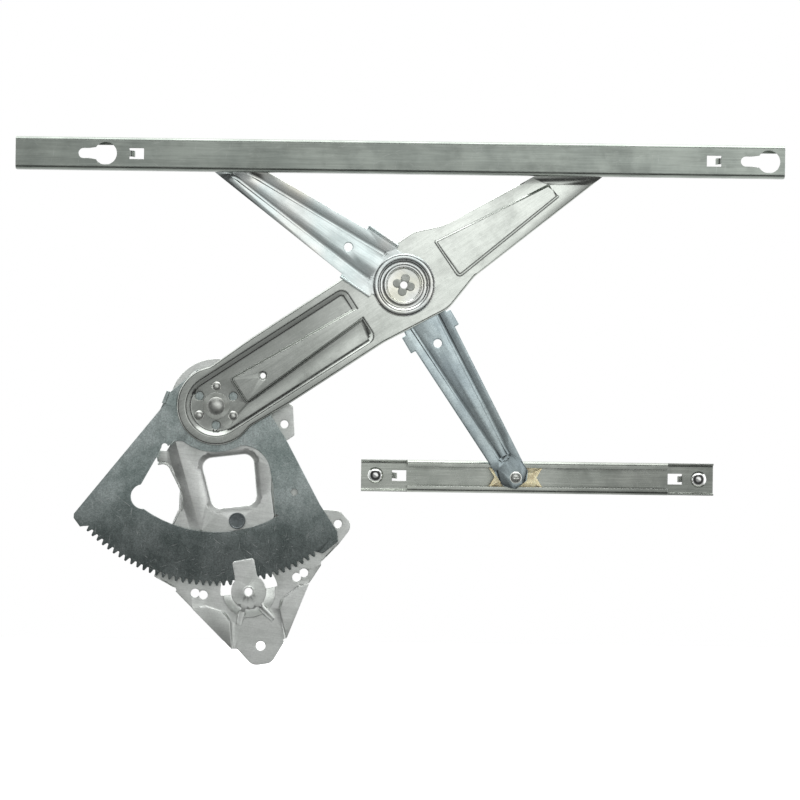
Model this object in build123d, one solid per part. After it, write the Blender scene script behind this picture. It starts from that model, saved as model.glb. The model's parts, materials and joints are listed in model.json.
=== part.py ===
"""Scissor window regulator of a car door: base plate, toothed sector, crossed arms, two channels.

Every piece is drawn in the front view: X to the right, Y up, Z the depth towards the viewer. The
depths are counted from the face of the base plate that lies on the door. place() then stands the
piece up, so that the door lies behind it, on the +Y side, and moves it so that the base plate's
lower bolt hole is at the origin. All sizes are in millimetres.
"""
from build123d import *
import math
import os

# Main places of the front view, from the drive shaft bore
ARM_LENGTH = 186.5          # sector pivot to centre pivot, and centre pivot to lower glide pin
UPPER_REACH = 190.0         # centre pivot to either upper glide pin
ARM_ANGLE = 33.5            # lift arm above the horizontal
LOWER_ANGLE = -59.0         # lower half of the cross arm
SECTOR_PIVOT = (-29.1, 154.9)
LOWER_BOLT = (10.2, -45.9)
EAR_BOLT = (27.8, 140.2)
TAB_BOLT = (73.8, 57.2)
STOP_RADIUS = 97.7          # stop stud from the sector pivot
STOP_ANGLE = 281.0

# Fits
RUN_FIT = 0.08              # radial play of a turning pair
SLIDE_GAP = 0.3             # play of a glide in its channel, and between sheets that pass
SEAT_GAP = 0.02             # radial play of a riveted shank in its hole
FACE_GAP = 0.1              # play between faces that turn on each other

# Base plate
BASE_SHEET = 2.0
DISH_RISE = 2.2             # pressed step of the dish
WING_RISE = 1.4             # pressed step of the two wings
LOBE_RADIUS = 39.9
WINDOW_CORNER = 8.0
WINDOW_RIM = 5.0            # soft rim that falls back into the window
FLANK_WIDTH = 8.0           # slope from the dish's left crease down to the plate
BOLT_HOLE_RADIUS = 3.25
LOWER_BOLT_RADIUS = 3.85
DRIVE_HOLE_RADIUS = 3.6
DRIVE_HOLE_STEP = 7.0
EDGE_LIP = 4.5              # depth of the edges turned back
EDGE_BEVEL = 1.3

# Drive boss, drawn up over the pinion
SHAFT_BORE_RADIUS = 3.3
BOSS_RADIUS = 14.7
BOSS_FOOT_RADIUS = 22.0
BOSS_COLLAR_RADIUS = 4.9
BOSS_COLLAR_RISE = 1.2
PINION_OPENING_RADIUS = 24.0
KEEPER_WIDTH = 18.5         # tongue that keeps the sector rim down
KEEPER_REACH = 27.0
BOSS_RIB_WIDTH = 4.6

# Sector gear
SECTOR_THICKNESS = 3.0
TOOTH_MODULE = 25.4 / 14
FULL_CIRCLE_TEETH = 164
SECTOR_TEETH = 37
FIRST_TOOTH_ANGLE = 223.7
PRESSURE_ANGLE = 20.0
RIM_INNER_RADIUS = 105.6
LEFT_SPOKE_ANGLE = 226.0    # left end of the cut-out
RIGHT_SPOKE_ANGLE = 300.4   # right end of the cut-out
GAUGE_RADIUS = 3.0
SECTOR_EAR_RISE = 4.0

# Lift arm
ARM_SHEET = 2.0
ARM_DRAW = 3.0              # floor of the pan below the rim
ARM_EDGE = 1.2              # bevel of the rim's outer edge
ARM_END_RADIUS = 33.0
ARM_NECK_BLEND = 14.0       # where the round end runs into the arm's straight edges
ARM_FLANGE_DROP = 4.8       # depth of the edge turned back round the pan
ARM_FLANGE_END = 128.0      # end of that edge, from the sector pivot
PAN_RADIUS = 25.5
PAN_WALL = 4.2              # width of the pan's sloping wall
TONGUE_WIDTH = 23.5         # raised tongue between the two pockets, at its wide end
PANEL_RISE = 1.8            # raised panel of the upper half
TIP_RADIUS = 13.0
JOGGLE_BELOW_PIN = 19.5     # start of the forward step, below the glide pins
JOGGLE_RUN = 5.0

# Cross arm
CROSS_SHEET = 2.2
HUB_RADIUS = 26.3
CUP_RADIUS = 16.3
CUP_FLOOR = 2.0
UPPER_WAIST = 21.2          # half widths beside the hub
LOWER_WAIST = 19.6
UPPER_TIP = 10.5            # half width at the upper glide pin
BEAD_WIDTH = 3.6
BEAD_DEPTH = 1.0
FLANGE_REACH = 4.0          # short flanges beside the hub
FLANGE_RISE = 2.4
GAUGE_HOLE_RADIUS = 3.5
LOWER_HUB_STEP = 3.1        # step back beside the hub, to pass behind the pan
LOWER_STEP_START = 21.5     # start of that step, from the centre pivot
LOWER_STEP_RUN = 8.0
LOWER_SET_BACK = 8.0        # the lower half leans back to its channel
TIP_BEVEL = 1.7             # drop of the bevels beside the lower pin

# Sector pivot
STUD_RADIUS = 6.0
STUD_HEAD_RADIUS = 7.6
WASHER_RADIUS = 11.2
WASHER_THICKNESS = 0.9
SPACER_THICKNESS = 0.8
STOP_SHANK_RADIUS = 3.0
STOP_HEAD_RADIUS = 6.9
CENTRE_RIVET_RADIUS = 4.6
CENTRE_RIVET_BORE = 3.1
RIVET_CIRCLE = 16.3
RIVET_RADIUS = 2.6
RIVET_HEAD_RADIUS = 4.2
RIVET_HEAD_HEIGHT = 1.5
OPEN_HOLE_RADIUS = 3.4

# Glide pins and glides
PIN_RADIUS = 4.0
PIN_HEAD_RADIUS = 5.2
PIN_HEAD_HEIGHT = 1.8
HEAD_PROFILE = ((1, 0), (0.86, 0.34), (0.56, 0.76), (0.2, 1), (0, 1))  # shares of a round head
GLIDE_LENGTH = 47.0
GLIDE_WAIST = 8.4
GLIDE_FLOOR = 1.6

# Channels
CHANNEL_HEIGHT = 27.0
CHANNEL_DEPTH = 13.0
CHANNEL_SHEET = 1.5
CHANNEL_LIP = 5.5
CHANNEL_CORNER = 3.2
GLASS_LEFT = -196.0
GLASS_LENGTH = 636.3
LEFT_KEYHOLE = 74.4         # middle of the round entry, from the glass channel's left end
RIGHT_KEYHOLE = 13.3        # the same from its right end
LEFT_KEY_RUN = 18.2         # from the entry's middle to the end of the slot
RIGHT_KEY_RUN = 19.1
LEFT_LANCE = 100.2          # glide stops, from the two ends
RIGHT_LANCE = 58.7
GUIDE_LEFT = 92.4
GUIDE_LENGTH = 297.4
GUIDE_BARE_END = 39.2       # lips cut away at each end
GUIDE_BARE_WALL = 4.0       # height of the walls left there
GUIDE_LANCE = 32.2          # glide stops, from the two ends
GUIDE_STUD = 12.1           # mounting studs, from the two ends
KEY_CIRCLE = 9.4
KEY_SLOT = 4.15
LANCE_LENGTH = 12.0
LANCE_HEIGHT = 9.0
LANCE_TAB = 4.2             # outer radius of the tab's bend
LANCE_TAB_HEIGHT = 5.0
LANCE_TAB_LEG = 1.6
MOUNT_STUD_RADIUS = 3.0
MOUNT_STUD_HEAD = 6.9
MOUNT_STUD_COLLAR = 9.0
MOUNT_STUD_COLLAR_HEIGHT = 1.5
MOUNT_STUD_LENGTH = 16.0

# Depths, from the door outwards
DISH_FRONT = BASE_SHEET + DISH_RISE
WING_FRONT = BASE_SHEET + WING_RISE
SECTOR_REAR = DISH_FRONT + SPACER_THICKNESS
SECTOR_FRONT = SECTOR_REAR + SECTOR_THICKNESS
PAN_FRONT = SECTOR_FRONT + ARM_SHEET
ARM_FRONT = PAN_FRONT + ARM_DRAW
ARM_REAR = ARM_FRONT - ARM_SHEET
CROSS_LOW_FRONT = ARM_REAR - FACE_GAP
CROSS_LOW_REAR = CROSS_LOW_FRONT - CROSS_SHEET
CROSS_UP_REAR = ARM_FRONT + SLIDE_GAP
CROSS_UP_FRONT = CROSS_UP_REAR + CROSS_SHEET
TIP_FRONT = CROSS_UP_FRONT + 2.8
GLASS_REAR = TIP_FRONT + 0.5
GLASS_FRONT = GLASS_REAR + CHANNEL_DEPTH
GUIDE_FRONT = -0.8
GUIDE_REAR = GUIDE_FRONT - CHANNEL_DEPTH
KEEPER_REAR = SECTOR_FRONT + 0.4
KEEPER_FRONT = KEEPER_REAR + BASE_SHEET
FAR = 1000.0


def polar(centre, radius, angle):
    """Point at a distance and an angle in degrees from a centre."""
    turn = math.radians(angle)
    return (centre[0] + radius * math.cos(turn), centre[1] + radius * math.sin(turn))


CENTRE_PIVOT = polar(SECTOR_PIVOT, ARM_LENGTH, ARM_ANGLE)
LIFT_PIN = polar(CENTRE_PIVOT, UPPER_REACH, ARM_ANGLE)
CROSS_PIN = polar(CENTRE_PIVOT, UPPER_REACH, 180.0 - ARM_ANGLE)
LOWER_PIN = polar(CENTRE_PIVOT, ARM_LENGTH, LOWER_ANGLE)
STOP_PLACE = polar(SECTOR_PIVOT, STOP_RADIUS, STOP_ANGLE)
RIVET_PLACES = [polar(SECTOR_PIVOT, RIVET_CIRCLE, angle) for angle in (90.0, 210.0, 330.0)]


def place(shape):
    """Stand a front view piece up from the lower bolt: Y becomes height, depth points to -Y."""
    return Rot(90, 0, 0) * Pos(-LOWER_BOLT[0], -LOWER_BOLT[1], 0) * shape


def frame_at(point, angle=0.0):
    """Local frame on a point of the front view, turned by an angle in degrees."""
    return Location((point[0], point[1], 0), (0, 0, angle))


def outline(corners):
    """Face inside straight runs joined by tangent arcs; each corner is (x, y, radius)."""
    area = sum(a[0] * b[1] - b[0] * a[1] for a, b in zip(corners, corners[1:] + corners[:1]))
    if area < 0:
        corners = corners[::-1]
    starts, ends, middles = [], [], []
    for i, (x, y, radius) in enumerate(corners):
        here = Vector(x, y)
        back = (Vector(*corners[i - 1][:2]) - here).normalized()
        ahead = (Vector(*corners[(i + 1) % len(corners)][:2]) - here).normalized()
        half = math.radians(back.get_angle(ahead)) / 2
        if radius <= 0:
            starts.append(here)
            ends.append(here)
            middles.append(None)
            continue
        reach = radius / math.tan(half)
        bisector = (back + ahead).normalized()
        starts.append(here + back * reach)
        ends.append(here + ahead * reach)
        middles.append(here + bisector * (radius / math.sin(half) - radius))
    edges = []
    for i, middle in enumerate(middles):
        if middle is not None:
            edges.append(ThreePointArc(starts[i], middle, ends[i]))
        target = starts[(i + 1) % len(starts)]
        if (target - ends[i]).length > 1e-6:
            edges.append(Line(ends[i], target))
    return Face(Wire(edges))


def slab(face, low, high, draft=0.0):
    """Solid on a front view face between two depths; a positive draft narrows it forwards."""
    return extrude(Pos(0, 0, low) * face, amount=high - low, dir=(0, 0, 1), taper=draft)


def disc(point, radius, low, high):
    """Round solid on a point of the front view."""
    return Pos(point[0], point[1], (low + high) / 2) * Cylinder(radius, high - low)


def block(x_low, x_high, y_low, y_high, low, high):
    """Square solid between two corners of the front view."""
    middle = Pos((x_low + x_high) / 2, (y_low + y_high) / 2, (low + high) / 2)
    return middle * Box(x_high - x_low, y_high - y_low, high - low)


def dome(point, radius, low, height):
    """Round head with a flat seat, its crown of short slopes pointing forwards."""
    crown = [(radius * across, height * up) for across, up in HEAD_PROFILE]
    side = make_face(Plane.XZ * Polyline((0, 0), *crown, close=True))
    return Pos(point[0], point[1], low) * revolve(side, Axis.Z)


def bent_band(stations, low_edge, high_edge):
    """Layer that follows a bent sheet along local X; each station is (x, depth of its back)."""
    near = [(x, depth + low_edge) for x, depth in stations]
    far = [(x, depth + high_edge) for x, depth in reversed(stations)]
    side = make_face(Plane.XZ * Polyline(*near, *far, close=True))
    return extrude(side, amount=FAR, both=True)


# Base plate

def base_outline():
    """Outline of the base plate with its lobe, ear and tab."""
    x0, y0 = SECTOR_PIVOT
    main = outline([
        (x0 - 34.0, y0 + 8.0, 0), (-68.2, 122.0, 3), (-70.6, 116.4, 2.5), (-80.6, 117.8, 4),
        (-78.0, 106.4, 1.5), (-69.5, 108.2, 9), (-57.2, 84.0, 20), (-57.8, 68.0, 8),
        (-64.0, 54.0, 2), (-80.2, 11.2, 1), (-61.0, 0.8, 0.8), (-62.0, -1.2, 0.8),
        (-14.1, -48.9, 2), (-9.4, -48.9, 2), (3.4, -62.8, 9), (19.5, -60.4, 9),
        (29.6, -43.0, 2), (29.6, -39.6, 0.8), (31.9, -39.6, 2.5), (50.3, 7.0, 3),
        (60.3, 22.6, 1), (59.8, 24.4, 1), (75.4, 41.0, 1.5), (86.4, 56.0, 7),
        (75.0, 68.3, 8), (50.0, 70.5, 3), (30.0, 118.0, 3), (29.6, 126.2, 1), (36.6, 131.0, 2),
        (34.9, 155.8, 3), (10.0, y0 + 14.0, 6), (x0 + 30.0, y0 + 26.0, 0)])
    return main + Pos(x0, y0) * Circle(LOBE_RADIUS)


def window_outline(grow=0.0):
    """Window in the dish, behind the sector's cut-out."""
    r = WINDOW_CORNER + grow
    return outline([
        (-42.0 - grow, 110.0 + grow, r), (1.6 + grow, 115.4 + grow, r),
        (5.6 + grow, 73.0 - grow, r), (-31.0 - grow, 68.6 - grow, r)])


def dish_outline():
    """Pressed-up middle of the plate, round the sector pivot and the window."""
    x0, y0 = SECTOR_PIVOT
    return outline([
        (x0 - 38.4, y0 - 16.0, 8), (-41.6, 50.2, 3), (-38.0, 36.0, 6), (18.0, 36.0, 6),
        (22.6, 64.0, 4), (19.6, 84.0, 10), (21.0, 104.0, 14), (x0 + 31.0, y0 - 4.0, 18),
        (x0 + 14.0, y0 + 30.0, 18), (x0 - 22.0, y0 + 30.0, 12)])


def wing_outlines():
    """The two pressed wings beside the lower tongue."""
    left = outline([
        (-51.0, -15.0, 2), (-37.0, -12.6, 5), (-20.6, -17.6, 8), (-15.6, -24.0, 6),
        (-11.4, -54.0, 1), (-20.0, -54.0, 1)])
    right = outline([
        (54.0, 8.6, 2), (41.0, 5.2, 5), (26.6, -6.6, 8), (25.4, -14.0, 8),
        (30.8, -44.0, 1), (40.0, -44.0, 1)])
    return left, right


def flank_slope():
    """Wedge from the dish's left crease down to the plate, and the hollow behind it."""
    top, foot = (-63.5, 125.4), (-41.6, 50.2)
    length = math.dist(top, foot)
    turn = math.degrees(math.atan2(top[1] - foot[1], top[0] - foot[0]))
    front = Polyline((-3, 0.2), (-3, DISH_FRONT), (0, DISH_FRONT), (FLANK_WIDTH, BASE_SHEET),
                     (FLANK_WIDTH, 0.2), close=True)
    back = Polyline((-3.5, -1), (-3.5, DISH_RISE), (0, DISH_RISE), (FLANK_WIDTH, 0),
                    (FLANK_WIDTH, -1), close=True)
    frame = frame_at(foot, turn)
    wedge = extrude(Plane.YZ * make_face(front), amount=length)
    hollow = Pos(2, 0, 0) * extrude(Plane.YZ * make_face(back), amount=length - 4)
    return frame * wedge, frame * hollow


def turned_lips():
    """Edges of the plate turned back: beside the left recess and beside the teeth."""
    recess = FilletPolyline((-77.4, 105.5), (-69.9, 107.0), (-58.3, 83.8), (-58.9, 68.0),
                            (-64.2, 55.8), radius=7)
    runs = (recess, Polyline((-78.6, 11.4), (-62.4, 2.7)), Polyline((60.2, 26.3), (73.6, 40.5)))
    lips = None
    for run in runs:
        wall = slab(make_face(offset(run, amount=BASE_SHEET / 2)), -EDGE_LIP, BASE_SHEET)
        lips = wall if lips is None else lips + wall
    return lips


def lip_bevels(face):
    """Waste that bevels the plate's front edges above its turned lips."""
    waste = slab(face, BASE_SHEET - EDGE_BEVEL, BASE_SHEET)
    waste -= slab(face, BASE_SHEET - EDGE_BEVEL, BASE_SHEET, 45)
    zones = block(-79.5, -55.0, 54.5, 107.5, 0, FAR) + block(-80.0, -61.5, 1.2, 11.0, 0, FAR)
    return waste & (zones + block(60.2, 75.0, 24.0, 41.0, 0, FAR))


def boss_rib(foot_x, foot_y):
    """Stiffening rib from the top of the boss down to the plate."""
    length = math.hypot(foot_x, foot_y)
    angle = math.degrees(math.atan2(foot_y, foot_x))
    top = KEEPER_FRONT
    side = Polyline(
        (BOSS_RADIUS - 3.5, top - 1.5), (BOSS_RADIUS - 3.5, top + 0.3),
        (BOSS_RADIUS + 2.5, top - 0.4), (length, BASE_SHEET + 0.2), (length, BASE_SHEET - 1.0),
        (BOSS_FOOT_RADIUS - 1.0, BASE_SHEET - 1.0), (BOSS_RADIUS, top - 2.2), close=True)
    rib = extrude(Plane.XZ * make_face(side), amount=BOSS_RIB_WIDTH / 2, both=True)
    return Rot(0, 0, angle) * rib


def drive_boss():
    """Cone drawn up round the shaft bore, open towards the sector, with the keeper tongue."""
    rise = KEEPER_FRONT - BASE_SHEET
    cone = Pos(0, 0, BASE_SHEET + rise / 2) * Cone(BOSS_FOOT_RADIUS, BOSS_RADIUS, rise)
    foot = disc((0, 0), PINION_OPENING_RADIUS + 1.0, 0, BASE_SHEET)
    inner = Pos(0, 0, KEEPER_REAR / 2) * Cone(
        BOSS_FOOT_RADIUS - 0.4, BOSS_RADIUS - 1.7, KEEPER_REAR)
    toward = math.degrees(math.atan2(SECTOR_PIVOT[1], SECTOR_PIVOT[0]))
    shell = cone + foot - inner - Rot(0, 0, toward) * block(0, FAR, -FAR, FAR, -1, FAR)
    cap = disc((0, 0), BOSS_RADIUS, KEEPER_REAR, KEEPER_FRONT)
    half = KEEPER_WIDTH / 2
    tongue = Rot(0, 0, toward) * outline([
        (0, -half - 3, 1), (13, -half, 4), (KEEPER_REACH, -half, 2), (KEEPER_REACH, half, 2),
        (13, half, 4), (0, half + 3, 1)])
    cap += slab(tongue, KEEPER_REAR, KEEPER_FRONT)
    collar = disc((0, 0), BOSS_COLLAR_RADIUS, KEEPER_REAR, KEEPER_FRONT + BOSS_COLLAR_RISE)
    boss = shell + cap + collar
    for foot_x, foot_y in ((-8.5, -28.5), (20.5, -24.0)):
        boss += boss_rib(foot_x, foot_y)
    return boss - disc((0, 0), SHAFT_BORE_RADIUS, -1, FAR)


def make_base_plate():
    """Base plate with its dish, window, wings, drive boss, turned lips and holes."""
    face = base_outline()
    plate = slab(face, 0, BASE_SHEET) + turned_lips()
    plate -= lip_bevels(face)
    wedge, hollow = flank_slope()
    dish = dish_outline()
    plate += wedge & slab(face, 0, DISH_FRONT)
    plate += slab(dish, BASE_SHEET, DISH_FRONT, 45)
    plate -= hollow
    rim_draft = -math.degrees(math.atan2(WINDOW_RIM, DISH_RISE))
    plate -= slab(dish, -0.01, DISH_RISE, 45) - slab(
        window_outline(2.0), 0, DISH_RISE, rim_draft)
    prism = slab(face, 0, WING_FRONT)
    for wing in wing_outlines():
        plate += slab(wing, BASE_SHEET, WING_FRONT, 40) & prism
        plate -= slab(wing, -0.01, WING_RISE, 40)
    plate -= slab(window_outline(), DISH_FRONT - DISH_RISE, DISH_FRONT, rim_draft)
    plate -= slab(window_outline(), -1, FAR)
    plate -= disc((0, 0), PINION_OPENING_RADIUS, -1, FAR)
    plate += drive_boss()
    plate -= disc(SECTOR_PIVOT, STUD_RADIUS + SEAT_GAP, -1, FAR)
    plate -= disc(STOP_PLACE, STOP_SHANK_RADIUS + SEAT_GAP, -1, FAR)
    for spot in (EAR_BOLT, TAB_BOLT):
        plate -= disc(spot, BOLT_HOLE_RADIUS, -1, FAR)
    plate -= disc(LOWER_BOLT, LOWER_BOLT_RADIUS, -1, FAR)
    for x, y, angle in ((-41.9, -3.2, -12.0), (42.7, 13.8, 32.0)):
        for side in (-0.5, 0.5):
            spot = polar((x, y), side * DRIVE_HOLE_STEP, angle)
            plate -= disc(spot, DRIVE_HOLE_RADIUS, -1, FAR)
    return plate


# Sector gear

def tooth_radii():
    """Root, pitch and tip radius of the teeth."""
    pitch = TOOTH_MODULE * FULL_CIRCLE_TEETH / 2
    return pitch - 1.157 * TOOTH_MODULE, pitch, pitch + TOOTH_MODULE


def involute_turn(radius, base):
    """Angle in degrees from the involute's foot on the base circle to a radius."""
    if radius <= base:
        return 0.0
    unrolled = math.sqrt((radius / base) ** 2 - 1)
    return math.degrees(unrolled - math.atan(unrolled))


def tooth_flank(radius):
    """Half angle of a tooth at a radius, in degrees."""
    pitch = tooth_radii()[1]
    base = pitch * math.cos(math.radians(PRESSURE_ANGLE))
    at_pitch = 360.0 / FULL_CIRCLE_TEETH / 4
    return at_pitch + involute_turn(pitch, base) - involute_turn(radius, base)


def tooth_edges():
    """Edges of the toothed arc, from the first tooth to the last."""
    root, pitch, tip = tooth_radii()
    step = 360.0 / FULL_CIRCLE_TEETH
    edges = []
    for i in range(SECTOR_TEETH):
        middle = FIRST_TOOTH_ANGLE + (i + 0.5) * step
        rise = [polar(SECTOR_PIVOT, r, middle - tooth_flank(r)) for r in (root, pitch, tip)]
        fall = [polar(SECTOR_PIVOT, r, middle + tooth_flank(r)) for r in (tip, pitch, root)]
        edges += [ThreePointArc(*rise), Line(rise[2], fall[0]), ThreePointArc(*fall)]
        if i < SECTOR_TEETH - 1:
            following = polar(SECTOR_PIVOT, root, middle + step - tooth_flank(root))
            edges.append(Line(fall[2], following))
    return edges


def sector_blank():
    """Toothed blank of the sector, before its cut-out."""
    edges = tooth_edges()
    first = edges[0] @ 0
    last = edges[-1] @ 1
    x0, y0 = SECTOR_PIVOT
    right = [polar(SECTOR_PIVOT, 150.0, 305.8), polar(SECTOR_PIVOT, 152.4, 306.6),
             polar(SECTOR_PIVOT, 152.6, 312.6), (73.4, 51.1), (58.7, 73.3), (30.8, 125.3),
             (x0 + 40.0, y0 + 2.0), (x0 + 8.0, y0 + 30.0), (x0 - 16.0, y0 + 30.0)]
    left = [(-67.9, 166.0), (-73.6, 156.8), (-76.0, 151.4), (-147.2, 63.2), (-147.4, 59.6),
            (-141.9, 52.3), (-138.6, 52.9)]
    run = Polyline(last, *right, *left, first)
    return Face(Wire(edges + run.edges()))


def cutout_outline():
    """Opening between the two spokes, behind the rim."""
    x0, y0 = SECTOR_PIVOT
    left_low = polar(SECTOR_PIVOT, RIM_INNER_RADIUS, LEFT_SPOKE_ANGLE + 9.5)
    right_low = polar(SECTOR_PIVOT, RIM_INNER_RADIUS, RIGHT_SPOKE_ANGLE)
    bottom = ThreePointArc(left_low, (x0 - 1.0, y0 - RIM_INNER_RADIUS), right_low)
    nose = polar(SECTOR_PIVOT, RIM_INNER_RADIUS - 7.0, LEFT_SPOKE_ANGLE - 0.2)
    nose_end = (-91.5, 88.2)
    left = ThreePointArc(left_low, nose, nose_end)
    side = Polyline(nose_end, (-79.0, 110.8), (-74.6, 119.9))
    notch = ThreePointArc((-74.6, 119.9), (-72.0, 123.0), (-69.3, 120.6))
    rise = Polyline((-69.3, 120.6), (-64.5, 125.2), (-56.8, 125.0))
    over = ThreePointArc((-56.8, 125.0), (-30.4, 116.2), (-7.7, 122.1))
    crown = ThreePointArc((-7.7, 122.1), (9.6, 115.4), (16.2, 104.0))
    right = Polyline((16.2, 104.0), (19.6, 88.0), (20.8, 66.0), right_low)
    return Face(Wire([bottom, left] + side.edges() + [notch] + rise.edges() + [over, crown]
                     + right.edges()))


def make_sector_gear():
    """Toothed sector with its cut-out, gauge hole and the ear at its upper corner."""
    gear = slab(sector_blank(), SECTOR_REAR, SECTOR_FRONT)
    gear -= slab(cutout_outline(), -1, FAR)
    gear -= disc(SECTOR_PIVOT, STUD_RADIUS + RUN_FIT, -1, FAR)
    for spot in RIVET_PLACES:
        gear -= disc(spot, RIVET_RADIUS + SEAT_GAP, -1, FAR)
    gear -= disc((37.0, 83.4), GAUGE_RADIUS, -1, FAR)
    ear = outline([(-74.4, 156.8, 0.6), (-70.4, 167.2, 0.6), (-68.0, 166.2, 0.6),
                   (-71.6, 156.0, 0.6)])
    return gear + slab(ear, SECTOR_REAR, SECTOR_FRONT + SECTOR_EAR_RISE)


# Lift arm

def lift_outline():
    """Outline of the lift arm in its own frame, X from the sector pivot to the upper pin."""
    hub_x = ARM_LENGTH
    pin_x = ARM_LENGTH + UPPER_REACH
    body = outline([
        (0, 29.5, 0), (52.0, 31.8, 60), (hub_x - 30, 32.4, 40), (hub_x + 30.9, 33.4, 14),
        (hub_x + 54.2, 24.8, 20), (pin_x, TIP_RADIUS - 0.4, 0), (pin_x, -TIP_RADIUS - 0.8, 0),
        (hub_x + 54.0, -26.0, 16), (hub_x + 21.0, -37.0, 22), (hub_x - 40.0, -31.4, 30),
        (52.0, -31.6, 60), (0, -29.5, 0)])
    arm = body + Circle(ARM_END_RADIUS) + Pos(pin_x, -0.5) * Circle(TIP_RADIUS)
    necks = [corner for corner in arm.vertices() if 5.0 < corner.X < ARM_END_RADIUS]
    return fillet(necks, ARM_NECK_BLEND)


def pan_outline(grow=0.0):
    """Pressed-in pan from the sector pivot to the hub, in the arm's frame."""
    r = PAN_RADIUS + grow
    far = ARM_LENGTH - 43.0 + grow
    return outline([(0, r, 0), (far, r, 7 + grow), (far, -r, 7 + grow), (0, -r, 0)]) + Circle(r)


def tongue_outline(grow=0.0):
    """Raised tongue between the two pockets of the pan, in the arm's frame."""
    wide = TONGUE_WIDTH / 2 + 1.4 + grow
    narrow = 5.6 + grow
    left = 22.0 - grow
    right = ARM_LENGTH - 34.0
    return outline([
        (left, wide, 3), (right, narrow, 0), (right, -narrow, 0), (left, -wide, 3)])


def panel_outline(grow=0.0):
    """Raised panel of the upper half, in the arm's frame."""
    hub_x = ARM_LENGTH
    return outline([
        (hub_x + 40.6 - grow, 17.6 + grow, 2), (hub_x + 41.4 - grow, -20.4 - grow, 4),
        (hub_x + 149.6 + grow, -8.6 - grow, 2), (hub_x + 148.0 + grow, 6.0 + grow, 2)])


def joggle_stations(depth, rise):
    """Stations of a forward step below the glide pins, along the front view's Y."""
    start = LIFT_PIN[1] - JOGGLE_BELOW_PIN
    return [(-FAR, depth), (start, depth), (start + JOGGLE_RUN, depth + rise),
            (FAR, depth + rise)]


def arm_blank(frame):
    """Lift arm's sheet with bevelled edges, its tip stepped forwards."""
    rise = TIP_FRONT - ARM_FRONT
    stations = joggle_stations(ARM_REAR, rise)
    band = Rot(0, 0, 90) * bent_band(stations, 0, ARM_SHEET)
    face = frame * lift_outline()
    blank = slab(face, ARM_REAR, TIP_FRONT) & band
    bevel = slab(face, ARM_FRONT - ARM_EDGE, ARM_FRONT)
    bevel -= slab(face, ARM_FRONT - ARM_EDGE, ARM_FRONT, 45)
    return blank - (bevel & block(-FAR, FAR, -FAR, stations[1][0], 0, FAR))


def make_lift_arm():
    """Pressed lift arm: flanged pan at the sector, flat hub, raised panel and joggled tip."""
    frame = frame_at(SECTOR_PIVOT, ARM_ANGLE)
    arm = arm_blank(frame)
    border = lift_outline() - offset(lift_outline(), amount=-ARM_SHEET)
    border &= Pos(ARM_FLANGE_END - 200, 0) * Rectangle(400, 200)
    arm += slab(frame * border, ARM_FRONT - ARM_FLANGE_DROP, ARM_FRONT - ARM_EDGE)
    draft = -math.degrees(math.atan2(PAN_WALL, ARM_DRAW))
    arm += slab(frame * pan_outline(ARM_SHEET - PAN_WALL), SECTOR_FRONT, ARM_REAR + 0.5, draft)
    arm -= slab(frame * pan_outline(-PAN_WALL), PAN_FRONT, ARM_FRONT, draft)
    arm += slab(frame * tongue_outline(), PAN_FRONT - 0.5, ARM_FRONT, 28)
    arm -= slab(frame * tongue_outline(-3.4), SECTOR_FRONT - 0.5, ARM_REAR - 0.6, 28)
    arm += slab(frame * panel_outline(), ARM_FRONT - 0.5, ARM_FRONT + PANEL_RISE, 45)
    arm -= slab(frame * panel_outline(-2.0), ARM_REAR - 0.5, ARM_REAR + PANEL_RISE, 45)
    arm -= disc(CENTRE_PIVOT, CUP_RADIUS + RUN_FIT, -1, FAR)
    arm -= disc(SECTOR_PIVOT, STUD_RADIUS + RUN_FIT, -1, FAR)
    for i, spot in enumerate(RIVET_PLACES):
        arm -= disc(spot, RIVET_RADIUS + SEAT_GAP, -1, FAR)
        arm -= disc(polar(SECTOR_PIVOT, RIVET_CIRCLE, 150.0 + 120.0 * i), OPEN_HOLE_RADIUS, -1, FAR)
    arm -= disc(LIFT_PIN, PIN_RADIUS + SEAT_GAP, -1, FAR)
    gauge = polar(SECTOR_PIVOT, 46.7, ARM_ANGLE)
    arm -= disc(gauge, 2.2, -1, FAR)
    return arm - disc(gauge, 4.0, ARM_FRONT - 0.5, FAR)


# Cross arm

def cross_outline(waist, tip_corners):
    """Tapered half of the cross arm in its own frame, X from the centre pivot to its pin."""
    body = outline([(0, waist, 0), (50.0, waist, 40)] + tip_corners + [
        (50.0, -waist, 40), (0, -waist, 0)])
    return body + Circle(HUB_RADIUS)


def bead_face(length, width):
    """Long U pressed into an arm, in the arm's frame."""
    end = length - 19.5
    points = [(28.5, 12.6), (end, 4.6), (end + 2.4, 0.6), (end, -3.6), (28.5, -12.6)]
    path = FilletPolyline(*points, radius=2.2)
    return make_face(offset(path, amount=width / 2))


def side_flange(from_x, to_x, waist, side, low, high, wall_low, wall_high):
    """Short flange beside the hub: the sheet widened and its edge turned up or back."""
    reach = waist + FLANGE_REACH
    if side > 0:
        sheet = block(from_x, to_x, waist - 1.0, reach, low, high)
        return sheet + block(from_x, to_x, reach - CROSS_SHEET, reach, wall_low, wall_high)
    sheet = block(from_x, to_x, -reach, 1.0 - waist, low, high)
    return sheet + block(from_x, to_x, -reach, CROSS_SHEET - reach, wall_low, wall_high)


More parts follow.
